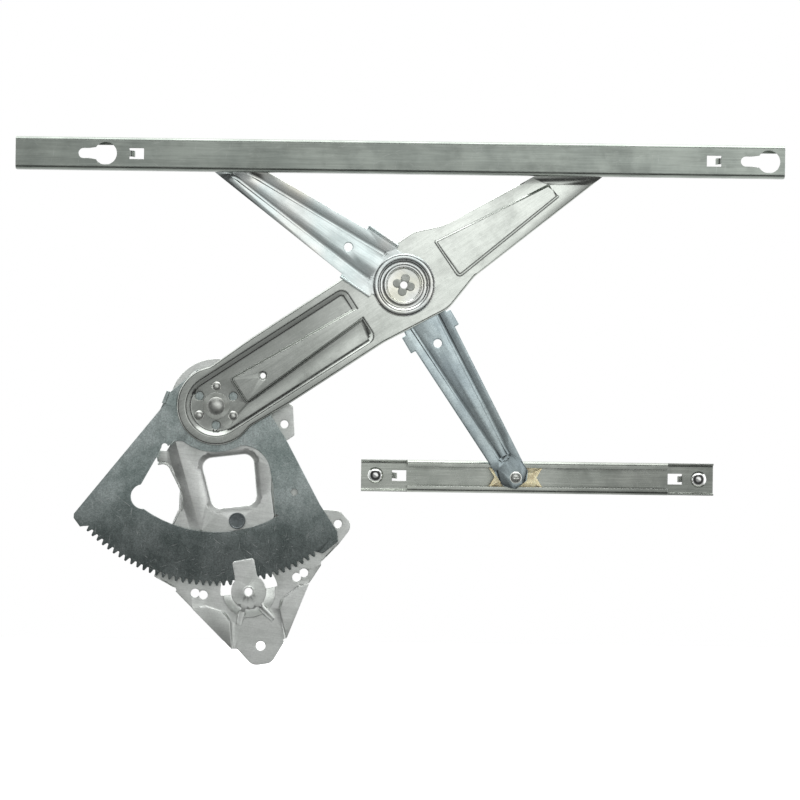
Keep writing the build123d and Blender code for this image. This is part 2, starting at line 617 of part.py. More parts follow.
def hub_relief():
    """Raised ring, groove and cup of the front half, turned round the centre pivot."""
    front = CROSS_UP_FRONT
    seat = CROSS_UP_REAR - 0.2
    ring = make_face(Polyline(
        (CUP_RADIUS - 2.2, CROSS_LOW_FRONT), (CUP_RADIUS, CROSS_LOW_FRONT),
        (CUP_RADIUS, seat), (HUB_RADIUS, seat), (HUB_RADIUS, front - 0.4),
        (HUB_RADIUS - 1.4, front + 0.6), (HUB_RADIUS - 3.6, front + 0.9),
        (HUB_RADIUS - 5.6, front + 0.3), (CUP_RADIUS + 3.4, front - 0.9),
        (CUP_RADIUS + 1.2, front - 0.9), (CUP_RADIUS + 0.2, front), (CUP_RADIUS - 1.4, front),
        (CUP_RADIUS - 2.2, front - 0.8), close=True))
    floor = disc((0, 0), CUP_RADIUS - 1.0, CROSS_LOW_FRONT, CROSS_LOW_FRONT + CUP_FLOOR)
    hub = revolve(Plane.XZ * ring, Axis.Z) + floor
    return hub - disc((0, 0), CENTRE_RIVET_RADIUS + SEAT_GAP, -1, FAR)


def make_cross_arm_upper():
    """Front half of the cross arm with the cup that turns in the lift arm."""
    frame = frame_at(CENTRE_PIVOT, 180.0 - ARM_ANGLE)
    half = UPPER_TIP
    tip = [(UPPER_REACH, half, 0), (UPPER_REACH + half, half, half - 0.5),
           (UPPER_REACH + half, -half, half - 0.5), (UPPER_REACH, -half, 0)]
    stations = joggle_stations(CROSS_UP_REAR, TIP_FRONT - CROSS_UP_FRONT)
    turn = Rot(0, 0, 90)
    arm = slab(frame * cross_outline(UPPER_WAIST, tip), CROSS_UP_REAR, TIP_FRONT)
    arm &= turn * bent_band(stations, 0, CROSS_SHEET)
    low, high = CROSS_UP_REAR, CROSS_UP_FRONT
    top = high + FLANGE_RISE
    arm += frame * side_flange(18.0, 48.0, UPPER_WAIST, 1, low, high, low, top)
    arm += frame * side_flange(21.7, 51.8, UPPER_WAIST, -1, low, high, low, top)
    groove = turn * bent_band(stations, CROSS_SHEET - BEAD_DEPTH, CROSS_SHEET + 9)
    arm -= slab(frame * bead_face(UPPER_REACH, BEAD_WIDTH), CROSS_UP_REAR, FAR) & groove
    arm -= disc(CENTRE_PIVOT, HUB_RADIUS - 0.5, -1, FAR)
    arm += Pos(CENTRE_PIVOT[0], CENTRE_PIVOT[1], 0) * hub_relief()
    arm -= disc(polar(CENTRE_PIVOT, 56.0, 180.0 - ARM_ANGLE), GAUGE_HOLE_RADIUS, -1, FAR)
    return arm - disc(CROSS_PIN, PIN_RADIUS + SEAT_GAP, -1, FAR)


def edge_bevel(start, end, width, front):
    """Wedge cut off the front of a sheet, falling away to the left of a line."""
    length = math.dist(start, end)
    turn = math.degrees(math.atan2(end[1] - start[1], end[0] - start[0]))
    side = make_face(Polyline((0, front), (width, front - TIP_BEVEL), (width, front + 1),
                              (0, front + 1), close=True))
    return frame_at(start, turn) * extrude(Plane.YZ * side, amount=length)


def make_cross_arm_lower():
    """Rear half of the cross arm, leaning back to the guide channel."""
    length = ARM_LENGTH
    tip = [(length - 8.0, 11.7, 20), (length + 0.5, 11.7, 4), (length + 7.0, 6.6, 2),
           (length + 8.4, -4.8, 1), (length + 5.5, -8.0, 1), (length + 0.8, -13.0, 4),
           (length - 20.0, -13.4, 20)]
    stations = [(-FAR, CROSS_LOW_REAR), (LOWER_STEP_START, CROSS_LOW_REAR),
                (LOWER_STEP_START + LOWER_STEP_RUN, CROSS_LOW_REAR - LOWER_HUB_STEP),
                (length - 36.0, CROSS_LOW_REAR - LOWER_SET_BACK),
                (FAR, CROSS_LOW_REAR - LOWER_SET_BACK)]
    band = bent_band(stations, 0, CROSS_SHEET)
    low = CROSS_LOW_REAR - LOWER_SET_BACK - 4
    arm = slab(cross_outline(LOWER_WAIST, tip), low, CROSS_LOW_FRONT) & band
    arm += slab(bead_face(length, BEAD_WIDTH + 2.0), low, CROSS_LOW_FRONT) & bent_band(
        stations, -0.9, 0.5)
    groove = bent_band(stations, CROSS_SHEET - BEAD_DEPTH, CROSS_SHEET + 9)
    arm -= slab(bead_face(length, BEAD_WIDTH), low, FAR) & groove
    reach = LOWER_WAIST + FLANGE_REACH
    wall = bent_band(stations, -FLANGE_RISE, 1.0)
    for from_x, to_x, side in ((37.0, 51.5, 1), (37.0, 52.5, -1)):
        edge = Pos((from_x + to_x) / 2, side * (reach - CROSS_SHEET / 2))
        arm += slab(edge * Rectangle(to_x - from_x, CROSS_SHEET), low, CROSS_LOW_FRONT) & wall
        ledge = Pos((from_x + to_x) / 2, side * (reach - 3.0)) * Rectangle(to_x - from_x, 6.0)
        arm += slab(ledge, low, CROSS_LOW_FRONT) & band
    front = CROSS_LOW_FRONT - LOWER_SET_BACK
    arm -= edge_bevel((length + 10.0, -5.9), (length - 13.5, -8.8), 8.0, front)
    arm -= edge_bevel((length - 10.0, 9.9), (length + 10.0, 1.1), 14.0, front)
    arm -= disc((56.3, 0), GAUGE_HOLE_RADIUS, -FAR, FAR)
    arm -= disc((length, 0), PIN_RADIUS + SEAT_GAP, -FAR, FAR)
    arm -= disc((0, 0), CENTRE_RIVET_RADIUS + SEAT_GAP, -FAR, FAR)
    return frame_at(CENTRE_PIVOT, LOWER_ANGLE) * arm


def make_centre_rivet():
    """Tube rivet that joins the two halves, its front end staked out into four lobes."""
    seat = CROSS_LOW_FRONT + CUP_FLOOR
    rivet = disc((0, 0), CENTRE_RIVET_RADIUS, CROSS_LOW_REAR - 1.2, seat + 1.1)
    rivet += disc((0, 0), 7.0, CROSS_LOW_REAR - 1.4, CROSS_LOW_REAR)
    for angle in (77, 167, 257, 347):
        rivet += disc(polar((0, 0), 5.6, angle), 3.7, seat, seat + 1.1)
    rivet -= disc((0, 0), CENTRE_RIVET_BORE, -FAR, FAR)
    return Pos(CENTRE_PIVOT[0], CENTRE_PIVOT[1], 0) * rivet


# Pivot, stop and rivets

def make_pivot_stud():
    """Stud of the sector pivot, with a rear head in the dish and a domed front head."""
    seat = PAN_FRONT + FACE_GAP + WASHER_THICKNESS
    stud = disc(SECTOR_PIVOT, STUD_RADIUS, 0.4, seat)
    stud += disc(SECTOR_PIVOT, STUD_HEAD_RADIUS + 1.0, 0.2, DISH_RISE)
    return stud + dome(SECTOR_PIVOT, STUD_HEAD_RADIUS, seat, 2.0)


def washer(low, high, radius):
    """Flat ring round the pivot stud."""
    ring = disc(SECTOR_PIVOT, radius, low, high)
    return ring - disc(SECTOR_PIVOT, STUD_RADIUS + SEAT_GAP, -1, FAR)


def make_stop_stud():
    """Stop stud in the sector's cut-out, riveted to the plate."""
    stud = disc(STOP_PLACE, STOP_HEAD_RADIUS, DISH_FRONT, SECTOR_FRONT + 1.4)
    stud -= disc(STOP_PLACE, STOP_HEAD_RADIUS - 1.3, SECTOR_FRONT + 0.9, FAR)
    return stud + disc(STOP_PLACE, STOP_SHANK_RADIUS, 0.2, DISH_FRONT)


def make_sector_rivets():
    """The three rivets that join the sector to the lift arm."""
    rivets = []
    for spot in RIVET_PLACES:
        shank = disc(spot, RIVET_RADIUS, SECTOR_REAR, PAN_FRONT)
        rivets.append(shank + dome(spot, RIVET_HEAD_RADIUS, PAN_FRONT, RIVET_HEAD_HEIGHT))
    return Compound(children=rivets)


# Glides and their pins

def glide_body():
    """Moulded glide on its own pin, its neck pointing to -Z of its own frame."""
    inner = CHANNEL_HEIGHT - 2 * CHANNEL_SHEET - 2 * SLIDE_GAP
    neck = CHANNEL_HEIGHT - 2 * CHANNEL_LIP - 2 * SLIDE_GAP
    thick = CHANNEL_DEPTH - 2 * CHANNEL_SHEET - 2 * SLIDE_GAP
    half = GLIDE_LENGTH / 2
    section = RectangleRounded(inner, thick, CHANNEL_CORNER - CHANNEL_SHEET + 0.1)
    body = Pos(0, 0, thick / 2) * extrude(Plane.YZ * section, amount=half, both=True)
    body &= slab(outline([
        (-half, inner / 2, 2), (half, inner / 2, 2), (half, -inner / 2, 2),
        (-half, -inner / 2, 2)]), -1, thick + 1)
    bow = outline([
        (-half, neck / 2, 1), (-half + 2.5, neck / 2, 1), (-half + 9.0, GLIDE_WAIST / 2, 2),
        (half - 9.0, GLIDE_WAIST / 2, 2), (half - 2.5, neck / 2, 1), (half, neck / 2, 1),
        (half - 3.2, 0, 4), (half, -neck / 2, 1), (half - 2.5, -neck / 2, 1),
        (half - 9.0, -GLIDE_WAIST / 2, 2), (-half + 9.0, -GLIDE_WAIST / 2, 2),
        (-half + 2.5, -neck / 2, 1), (-half, -neck / 2, 1), (-half + 3.2, 0, 4)])
    body += slab(bow, -CHANNEL_SHEET, 0)
    body += disc((0, 0), PIN_RADIUS + 3.0, -CHANNEL_SHEET, 0)
    return body - disc((0, 0), PIN_RADIUS + RUN_FIT, -FAR, thick - GLIDE_FLOOR)


def make_upper_glide(pin):
    """Glide in the glass channel, over a pin of the front view."""
    seat = GLASS_REAR + CHANNEL_SHEET + SLIDE_GAP
    return Pos(pin[0], pin[1], seat) * glide_body()


def make_lower_glide():
    """Glide in the guide channel, facing the viewer."""
    seat = GUIDE_FRONT - CHANNEL_SHEET - SLIDE_GAP
    return Pos(LOWER_PIN[0], LOWER_PIN[1], seat) * Rot(180, 0, 0) * glide_body()


def upper_pin(pin, arm_rear):
    """Pin riveted in an arm tip, pointing forwards into its glide."""
    reach = GLASS_FRONT - CHANNEL_SHEET - SLIDE_GAP - GLIDE_FLOOR - 0.5
    head = Rot(180, 0, 0) * dome((0, 0), PIN_HEAD_RADIUS, 0, PIN_HEAD_HEIGHT)
    return disc(pin, PIN_RADIUS, arm_rear, reach) + Pos(pin[0], pin[1], arm_rear) * head


def make_lower_pin():
    """Pin of the lower glide, with a domed and slotted head in front of the arm tip."""
    front = CROSS_LOW_FRONT - LOWER_SET_BACK
    reach = GUIDE_REAR + CHANNEL_SHEET + SLIDE_GAP + GLIDE_FLOOR + 0.5
    pin = disc(LOWER_PIN, PIN_RADIUS, reach, front)
    pin += dome(LOWER_PIN, PIN_HEAD_RADIUS, front, PIN_HEAD_HEIGHT)
    slot = block(-2.6, 2.6, -0.5, 0.5, front + PIN_HEAD_HEIGHT - 0.7, FAR)
    return pin - Pos(LOWER_PIN[0], LOWER_PIN[1], 0) * slot


# Channels

def channel_bar(left, length, middle_y, rear, opens_back):
    """Straight length of lipped channel along X, open to the back or to the front."""
    height, depth = CHANNEL_HEIGHT, CHANNEL_DEPTH
    sheet, corner = CHANNEL_SHEET, CHANNEL_CORNER
    section = RectangleRounded(height, depth, corner)
    section -= RectangleRounded(height - 2 * sheet, depth - 2 * sheet, corner - sheet)
    mouth = -1 if opens_back else 1
    section -= Pos(0, mouth * depth / 2) * Rectangle(height - 2 * CHANNEL_LIP, 3 * sheet)
    bar = extrude(Plane.YZ * section, amount=length)
    return Pos(left, middle_y, rear + depth / 2) * bar


def keyhole(circle_x, slot_x, middle_y):
    """Keyhole of the glass channel: a round entry that narrows to a slot."""
    run = circle_x - slot_x
    slot = Pos(-run / 2, 0) * Rectangle(run, 2 * KEY_SLOT) + Pos(-run, 0) * Circle(KEY_SLOT)
    touch = math.acos((KEY_CIRCLE - KEY_SLOT) / (run * 0.75))
    reach = (KEY_CIRCLE * math.cos(touch), KEY_CIRCLE * math.sin(touch))
    flank = make_face(Polyline(
        (-reach[0], reach[1]), (-run * 0.75, KEY_SLOT), (-run * 0.75, -KEY_SLOT),
        (-reach[0], -reach[1]), close=True))
    return Pos(circle_x, middle_y) * (Circle(KEY_CIRCLE) + slot + flank)


def lance(x, middle_y, side, web_low, web_high, inward):
    """Cut-out in a web and its tab, bent into the channel as a stop for the glide."""
    half = LANCE_LENGTH / 2
    opening = block(x - half, x + half, middle_y - LANCE_HEIGHT / 2,
                    middle_y + LANCE_HEIGHT / 2, web_low - 1, web_high + 1)
    root = x + side * half
    inner = LANCE_TAB - CHANNEL_SHEET
    inside = web_high if inward > 0 else web_low
    centre = (root, inside + inward * inner)
    bend = Circle(LANCE_TAB) - Circle(inner)
    bend &= Pos(-side * LANCE_TAB, -inward * LANCE_TAB) * Rectangle(
        2 * LANCE_TAB, 2 * LANCE_TAB)
    leg = Pos(-side * (LANCE_TAB + inner) / 2, inward * LANCE_TAB_LEG / 2) * Rectangle(
        CHANNEL_SHEET, LANCE_TAB_LEG)
    face = Plane.XZ * (Pos(*centre) * (bend + leg))
    tab = extrude(face, amount=LANCE_TAB_HEIGHT / 2, both=True)
    return opening, Pos(0, middle_y, 0) * tab


def make_glass_channel():
    """Upper channel, bolted to the glass, with its keyholes and glide stops."""
    middle = LIFT_PIN[1]
    bar = channel_bar(GLASS_LEFT, GLASS_LENGTH, middle, GLASS_REAR, True)
    web_low = GLASS_FRONT - CHANNEL_SHEET
    right = GLASS_LEFT + GLASS_LENGTH
    for x, run in ((GLASS_LEFT + LEFT_KEYHOLE, LEFT_KEY_RUN),
                   (right - RIGHT_KEYHOLE, RIGHT_KEY_RUN)):
        bar -= slab(keyhole(x, x - run, middle), web_low - 1, GLASS_FRONT + 1)
    for x, side in ((GLASS_LEFT + LEFT_LANCE, -1), (right - RIGHT_LANCE, 1)):
        opening, tab = lance(x, middle, side, web_low, GLASS_FRONT, -1)
        bar = bar - opening + tab
    return bar


def stud_hole(x, middle_y):
    """Round hole with three notches under a mounting stud's head."""
    face = Circle(MOUNT_STUD_RADIUS + SEAT_GAP)
    for angle in (165, 45, 285):
        face += Rot(0, 0, angle) * Pos(5.4, 0) * Rectangle(6.0, 2.6)
    return slab(Pos(x, middle_y) * face, GUIDE_REAR - 1, GUIDE_REAR + CHANNEL_SHEET + 1)


def guide_stud_places():
    """Places of the two mounting studs along the guide channel."""
    return GUIDE_LEFT + GUIDE_STUD, GUIDE_LEFT + GUIDE_LENGTH - GUIDE_STUD


def make_guide_channel():
    """Lower channel, bolted to the door, its lips cut away at both ends."""
    middle = LOWER_PIN[1]
    bar = channel_bar(GUIDE_LEFT, GUIDE_LENGTH, middle, GUIDE_REAR, False)
    web_high = GUIDE_REAR + CHANNEL_SHEET
    right = GUIDE_LEFT + GUIDE_LENGTH
    for low, high in ((GUIDE_LEFT - 1, GUIDE_LEFT + GUIDE_BARE_END),
                      (right - GUIDE_BARE_END, right + 1)):
        bar -= block(low, high, middle - FAR, middle + FAR, web_high + GUIDE_BARE_WALL, FAR)
    for x, side in ((GUIDE_LEFT + GUIDE_LANCE, -1), (right - GUIDE_LANCE, 1)):
        opening, tab = lance(x, middle, side, GUIDE_REAR, web_high, 1)
        bar = bar - opening + tab
    for x in guide_stud_places():
        bar -= stud_hole(x, middle)
    return bar


def make_guide_stud(x):
    """Mounting stud with a domed head in the channel, a collar behind it and its shank."""
    spot = (x, LOWER_PIN[1])
    seat = GUIDE_REAR + CHANNEL_SHEET
    shank = disc(spot, MOUNT_STUD_RADIUS, GUIDE_REAR - MOUNT_STUD_LENGTH, seat)
    shank += disc(spot, MOUNT_STUD_COLLAR, GUIDE_REAR - MOUNT_STUD_COLLAR_HEIGHT, GUIDE_REAR)
    return shank + dome(spot, MOUNT_STUD_HEAD, seat, 3.4)


def build():
    """All pieces by name."""
    left_stud, right_stud = guide_stud_places()
    head_seat = PAN_FRONT + FACE_GAP
    return {
        "base_plate": make_base_plate(),
        "sector_pivot_stud": make_pivot_stud(),
        "pivot_washer": washer(head_seat, head_seat + WASHER_THICKNESS, WASHER_RADIUS),
        "pivot_spacer": washer(DISH_FRONT, SECTOR_REAR - 0.05, WASHER_RADIUS + 2.0),
        "sector_stop_stud": make_stop_stud(),
        "sector_gear": make_sector_gear(),
        "sector_rivets": make_sector_rivets(),
        "lift_arm": make_lift_arm(),
        "lift_glide_pin": upper_pin(LIFT_PIN, TIP_FRONT - ARM_SHEET),
        "cross_arm_upper": make_cross_arm_upper(),
        "cross_arm_lower": make_cross_arm_lower(),
        "centre_rivet": make_centre_rivet(),
        "cross_pin_upper": upper_pin(CROSS_PIN, TIP_FRONT - CROSS_SHEET),
        "cross_pin_lower": make_lower_pin(),
        "lift_glide": make_upper_glide(LIFT_PIN),
        "cross_glide_upper": make_upper_glide(CROSS_PIN),
        "cross_glide_lower": make_lower_glide(),
        "glass_channel": make_glass_channel(),
        "guide_channel": make_guide_channel(),
        "guide_stud_left": make_guide_stud(left_stud),
        "guide_stud_right": make_guide_stud(right_stud),
    }


os.makedirs("parts", exist_ok=True)
for name, shape in build().items():
    export_step(place(shape), f"parts/{name}.step")
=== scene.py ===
import bmesh
import bpy
import json
import logging
import math
from dataclasses import dataclass, field, replace
from enum import Enum
from mathutils import Matrix, Vector
from mathutils.bvhtree import BVHTree
from mathutils.kdtree import KDTree


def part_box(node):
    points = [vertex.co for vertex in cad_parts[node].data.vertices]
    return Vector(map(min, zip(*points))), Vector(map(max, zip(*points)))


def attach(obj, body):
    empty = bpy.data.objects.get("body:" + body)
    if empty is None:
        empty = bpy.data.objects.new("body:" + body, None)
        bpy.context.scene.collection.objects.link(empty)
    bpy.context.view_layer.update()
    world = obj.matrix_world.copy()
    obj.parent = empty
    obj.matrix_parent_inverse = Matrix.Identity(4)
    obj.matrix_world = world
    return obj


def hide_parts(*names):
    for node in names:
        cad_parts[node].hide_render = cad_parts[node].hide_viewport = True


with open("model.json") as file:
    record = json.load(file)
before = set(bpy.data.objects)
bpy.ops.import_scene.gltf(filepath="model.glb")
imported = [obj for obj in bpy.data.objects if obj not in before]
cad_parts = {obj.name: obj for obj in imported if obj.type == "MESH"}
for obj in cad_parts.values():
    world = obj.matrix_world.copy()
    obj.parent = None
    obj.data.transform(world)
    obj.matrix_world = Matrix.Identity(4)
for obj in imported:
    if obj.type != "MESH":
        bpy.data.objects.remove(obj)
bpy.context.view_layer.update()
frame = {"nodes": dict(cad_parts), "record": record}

log = logging.getLogger("window_regulator")
Colour = tuple[float, float, float]
Point = tuple[float, float, float]
Spot = tuple[float, float]

WHITE = (1.0, 1.0, 1.0, 1.0)
DUST_GREY = (0.5, 0.48, 0.44)
SAME_SPOT = 1e-7            # corners closer than this, in metres, are one
CAD_GRID = 2e-6             # the same for the corners of the CAD meshes
CUT_PAST = 0.001            # how far a cutting tool runs past what it cuts
SMOOTH_UP_TO = 42.0         # angle between faces, in degrees, up to which shading is smooth


class Along(Enum):
    """Axis of the frame along which painted shade and painted reflection change the tone."""

    ACROSS = 0
    DEPTH = 1
    HEIGHT = 2


class Mouth(Enum):
    """Side to which a rolled channel opens; the value is the sign of that side along Y."""

    DOOR = 1
    VIEWER = -1


# Wiring of node trees

class Tree:
    """A node tree under construction, with short calls for nodes, values and links."""

    def __init__(self, tree: bpy.types.NodeTree) -> None:
        """Take over a tree.

        Args:
            tree: The node tree to fill.
        """
        self.tree = tree

    def add(self, kind: str, values: dict | None = None, **settings: object) -> bpy.types.Node:
        """Add a node.

        Args:
            kind: The node's type name.
            values: Input values by socket name or number; an output socket is linked instead.
            settings: Properties of the node itself.

        Returns:
            The new node.
        """
        node = self.tree.nodes.new(kind)
        for name, setting in settings.items():
            setattr(node, name, setting)
        for key, value in (values or {}).items():
            self.feed(node, key, value)
        return node

    def feed(self, node: bpy.types.Node, key: str | int, value: object) -> None:
        """Set or link one input.

        Args:
            node: The node that takes the input.
            key: The input's name or number.
            value: A plain value, or the output socket to link from.
        """
        if isinstance(value, bpy.types.NodeSocket):
            self.tree.links.new(value, node.inputs[key])
        else:
            node.inputs[key].default_value = value

    def math(self, operation: str, *inputs: object, clamp: bool = False) -> bpy.types.NodeSocket:
        """Add a Math node.

        Args:
            operation: The operation's name.
            inputs: Values or sockets, in order.
            clamp: Whether the result stays within 0 and 1.

        Returns:
            The result's socket.
        """
        node = self.add("ShaderNodeMath", dict(enumerate(inputs)), operation=operation,
                        use_clamp=clamp)
        return node.outputs[0]

    def times(self, first: object, second: object) -> bpy.types.NodeSocket:
        """Product of two values or sockets."""
        return self.math("MULTIPLY", first, second)

    def between(self, share: object, first: object, second: object) -> bpy.types.NodeSocket:
        """Value between two others; share is the weight of the second."""
        rest = self.math("SUBTRACT", 1.0, share)
        return self.math("ADD", self.times(first, rest), self.times(second, share))

    def split(self, vector: object) -> list[bpy.types.NodeSocket]:
        """Sockets of a vector's three axes."""
        return list(self.add("ShaderNodeSeparateXYZ", {0: vector}).outputs)

    def combine(self, *axes: object) -> bpy.types.NodeSocket:
        """Vector made of up to three axes, X first."""
        return self.add("ShaderNodeCombineXYZ", dict(enumerate(axes))).outputs[0]

    def spot(self) -> bpy.types.NodeSocket:
        """Place of the shaded spot in the object's own coordinates."""
        return self.add("ShaderNodeTexCoord").outputs["Object"]

    def noise(self, vector: object, scale: object, detail: float = 4.0,
              rough: float = 0.55) -> bpy.types.NodeSocket:
        """Add a noise pattern.

        Args:
            vector: Coordinates of the pattern.
            scale: Size of the pattern, in repeats per metre.
            detail: Number of finer layers.
            rough: Weight of the finer layers.

        Returns:
            The pattern's value.
        """
        node = self.add("ShaderNodeTexNoise", {
            "Vector": vector, "Scale": scale, "Detail": detail, "Roughness": rough})
        return node.outputs[0]

    def gathered(self, *shapes: bpy.types.NodeSocket) -> bpy.types.NodeSocket:
        """Join several geometries.

        Args:
            shapes: Sockets of the geometries.

        Returns:
            Socket of all of them as one.
        """
        node = self.add("GeometryNodeJoinGeometry")
        for shape in shapes:
            self.feed(node, 0, shape)
        return node.outputs[0]

    def ramp(self, value: object, low: float, high: float, start: float = 0.0,
             end: float = 1.0) -> bpy.types.NodeSocket:
        """Map a value smoothly from one range to another.

        Args:
            value: The socket that is mapped.
            low: The value that gives start.
            high: The value that gives end.
            start: Result at low.
            end: Result at high.

        Returns:
            The result's socket.
        """
        node = self.add("ShaderNodeMapRange", {0: value, 1: low, 2: high, 3: start, 4: end},
                        interpolation_type="SMOOTHSTEP")
        return node.outputs[0]

    def blend(self, factor: object, first: object, second: object,
              kind: str = "MIX") -> bpy.types.NodeSocket:
        """Mix two colours.

        Args:
            factor: Share of the second colour.
            first: First colour or socket.
            second: Second colour or socket.
            kind: How the two are blended.

        Returns:
            The mixed colour's socket.
        """
        node = self.add("ShaderNodeMix", data_type="RGBA", blend_type=kind)
        for key, value in ((0, factor), (6, first), (7, second)):
            self.feed(node, key, value + (1.0,) if isinstance(value, tuple) else value)
        return node.outputs[2]


def blank_tree(owner: bpy.types.Material | bpy.types.World) -> Tree:
    """Empty the node tree of a new material or world.

    Args:
        owner: The material or world.

    Returns:
        Its tree.
    """
    owner.use_nodes = True
    owner.node_tree.nodes.clear()
    return Tree(owner.node_tree)


class NodeGroup:
    """Base of all node groups: a titled tree with named sockets, whose entry a subclass adds."""

    title = ""
    kind = ""

    def __init__(self) -> None:
        """Start the group."""
        self.group = bpy.data.node_groups.new(self.title, self.kind)
        self.tree = Tree(self.group)

    def socket(self, name: str, way: str, kind: str, value: object = None) -> str:
        """Add a socket to the group.

        Args:
            name: Its name.
            way: INPUT or OUTPUT.
            kind: Its type, without the words NodeSocket.
            value: Its value when nothing else is given.

        Returns:
            The socket's identifier.
        """
        made = self.group.interface.new_socket(name=name, in_out=way,
                                               socket_type="NodeSocket" + kind)
        if value is not None:
            made.default_value = value
        return made.identifier

    def given(self, name: str) -> bpy.types.NodeSocket:
        """Socket of a named input."""
        return self.entry.outputs[name]


class Effect(NodeGroup):
    """Base of the shader effects that several finishes share."""

    kind = "ShaderNodeTree"
    inputs: dict[str, float] = {}
    outputs: tuple[str, ...] = ()
    vector_outputs: tuple[str, ...] = ()

    def __init__(self) -> None:
        """Build the group with its named sockets."""
        super().__init__()
        for name, value in self.inputs.items():
            self.socket(name, "INPUT", "Float", value)
        for name in self.outputs:
            self.socket(name, "OUTPUT", "Vector" if name in self.vector_outputs else "Float")
        self.entry = self.tree.add("NodeGroupInput")
        self.exit = self.tree.add("NodeGroupOutput")
        self.place = self.tree.spot()
        self.wire()

    def wire(self) -> None:
        """Fill the group; each effect has its own way."""
        raise NotImplementedError

    def put(self, name: str, value: bpy.types.NodeSocket) -> None:
        """Link a named output."""
        self.tree.feed(self.exit, name, value)

    def stretched(self, turn: object, length: object) -> bpy.types.NodeSocket:
        """Coordinates drawn out along one direction of the sheet.

        Args:
            turn: Angle of the direction from the horizontal, in radians.
            length: How many times the pattern is longer than wide.

        Returns:
            The new coordinates.
        """
        turned = self.tree.add("ShaderNodeVectorRotate", {"Vector": self.place, "Angle": turn},
                               rotation_type="Y_AXIS").outputs[0]
        along, depth, across = self.tree.split(turned)
        return self.tree.combine(self.tree.math("DIVIDE", along, length), depth, across)


class EdgeWearAndHighlight(Effect):
    """Slightly rounded edges: a mask of abrasion and painted highlight along them, and the rounded
    normal.
    """

    title = "edge_wear"
    inputs = {"Radius": 0.0004, "Reach": 0.12, "Breaks": 260.0}
    outputs = ("Wear", "Rounded")
    vector_outputs = ("Rounded",)
    least = 0.45                # edge abrasion and painted highlight where the line is faintest

    def wire(self) -> None:
        """Compare the true normal with the rounded one, and break the line up."""
        tree = self.tree
        soft = tree.add("ShaderNodeBevel", {"Radius": self.given("Radius")}, samples=4)
        true = tree.add("ShaderNodeNewGeometry").outputs["Normal"]
        meet = tree.add("ShaderNodeVectorMath", {0: soft.outputs[0], 1: true},
                        operation="DOT_PRODUCT").outputs["Value"]
        turned = tree.math("SUBTRACT", 1.0, meet)
        edge = tree.math("DIVIDE", turned, self.given("Reach"), clamp=True)
        broken = tree.ramp(tree.noise(self.place, self.given("Breaks")), 0.3, 0.6,
                           self.least, 1.0)
        self.put("Wear", tree.times(edge, broken))
        self.put("Rounded", soft.outputs[0])


class RolledGrain(Effect):
    """Long fine lines that rolling leaves in sheet."""

    title = "rolled_grain"
    inputs = {"Turn": 0.0, "Length": 14.0, "Scale": 900.0}
    outputs = ("Shade", "Height")
    broad_scale = 0.14          # scale of the broad lines against the fine ones
    broad_share = 0.4           # their weight in the shade

    def wire(self) -> None:
        """Add up a fine and a broad run of lines."""
        tree = self.tree
        lines = self.stretched(self.given("Turn"), self.given("Length"))
        fine = tree.noise(lines, self.given("Scale"), 5.0, 0.7)
        broad = tree.noise(lines, tree.times(self.given("Scale"), self.broad_scale), 3.0)
        both = tree.between(self.broad_share, fine, broad)
        self.put("Shade", tree.ramp(both, 0.35, 0.65))
        self.put("Height", fine)


class ZincBloom(Effect):
    """Cloudy patches and small crystals of a plated surface."""

    title = "zinc_bloom"
    inputs = {"Cloud": 28.0, "Crystal": 700.0}
    outputs = ("Bloom", "Spangle")

    def wire(self) -> None:
        """Clouds from soft noise, crystals from the cells' own random values."""
        cloud = self.tree.noise(self.place, self.given("Cloud"), 5.0, 0.6)
        self.put("Bloom", self.tree.ramp(cloud, 0.32, 0.68))
        cells = self.tree.add("ShaderNodeTexVoronoi", {
            "Vector": self.place, "Scale": self.given("Crystal")}, feature="F1")
        split = self.tree.add("ShaderNodeSeparateColor", {0: cells.outputs["Color"]})
        self.put("Spangle", split.outputs[0])


class HairScratches(Effect):
    """Thin scratches of handling, in three directions."""

    title = "hair_scratches"
    inputs = {"Scale": 2400.0, "Least": 0.71}
    outputs = ("Scratch",)
    turns = (0.35, 1.45, 2.5)   # directions, in radians
    length = 36.0               # how much longer than wide a scratch is
    contrast = 30.0             # how sharply it stands out

    def wire(self) -> None:
        """Keep only the crests of drawn-out noise."""
        tree = self.tree
        total = None
        for turn in self.turns:
            crest = tree.noise(self.stretched(turn, self.length), self.given("Scale"), 2.0, 0.5)
            above = tree.math("SUBTRACT", crest, self.given("Least"))
            mark = tree.math("MULTIPLY", above, self.contrast, clamp=True)
            total = mark if total is None else tree.math("MAXIMUM", total, mark)
        self.put("Scratch", total)


class HandlingDust(Effect):
    """Dull smudges and a film of dust that lies on what faces up."""

    title = "handling_dust"
    inputs = {"Scale": 45.0, "Settled": 0.3}
    outputs = ("Smudge", "Dust")
    grains = 1400.0             # specks of dust per metre

    def wire(self) -> None:
        """Smudges from noise; dust from noise where the surface faces up."""
        tree = self.tree
        spread = tree.noise(self.place, self.given("Scale"), 6.0, 0.65)
        self.put("Smudge", tree.ramp(spread, 0.42, 0.7))
        up = tree.split(tree.add("ShaderNodeNewGeometry").outputs["Normal"])[2]
        settled = tree.times(tree.ramp(up, 0.55, 1.0), self.given("Settled"))
        fine = tree.ramp(tree.noise(self.place, self.grains, 2.0), 0.35, 0.75)
        self.put("Dust", tree.times(settled, fine))


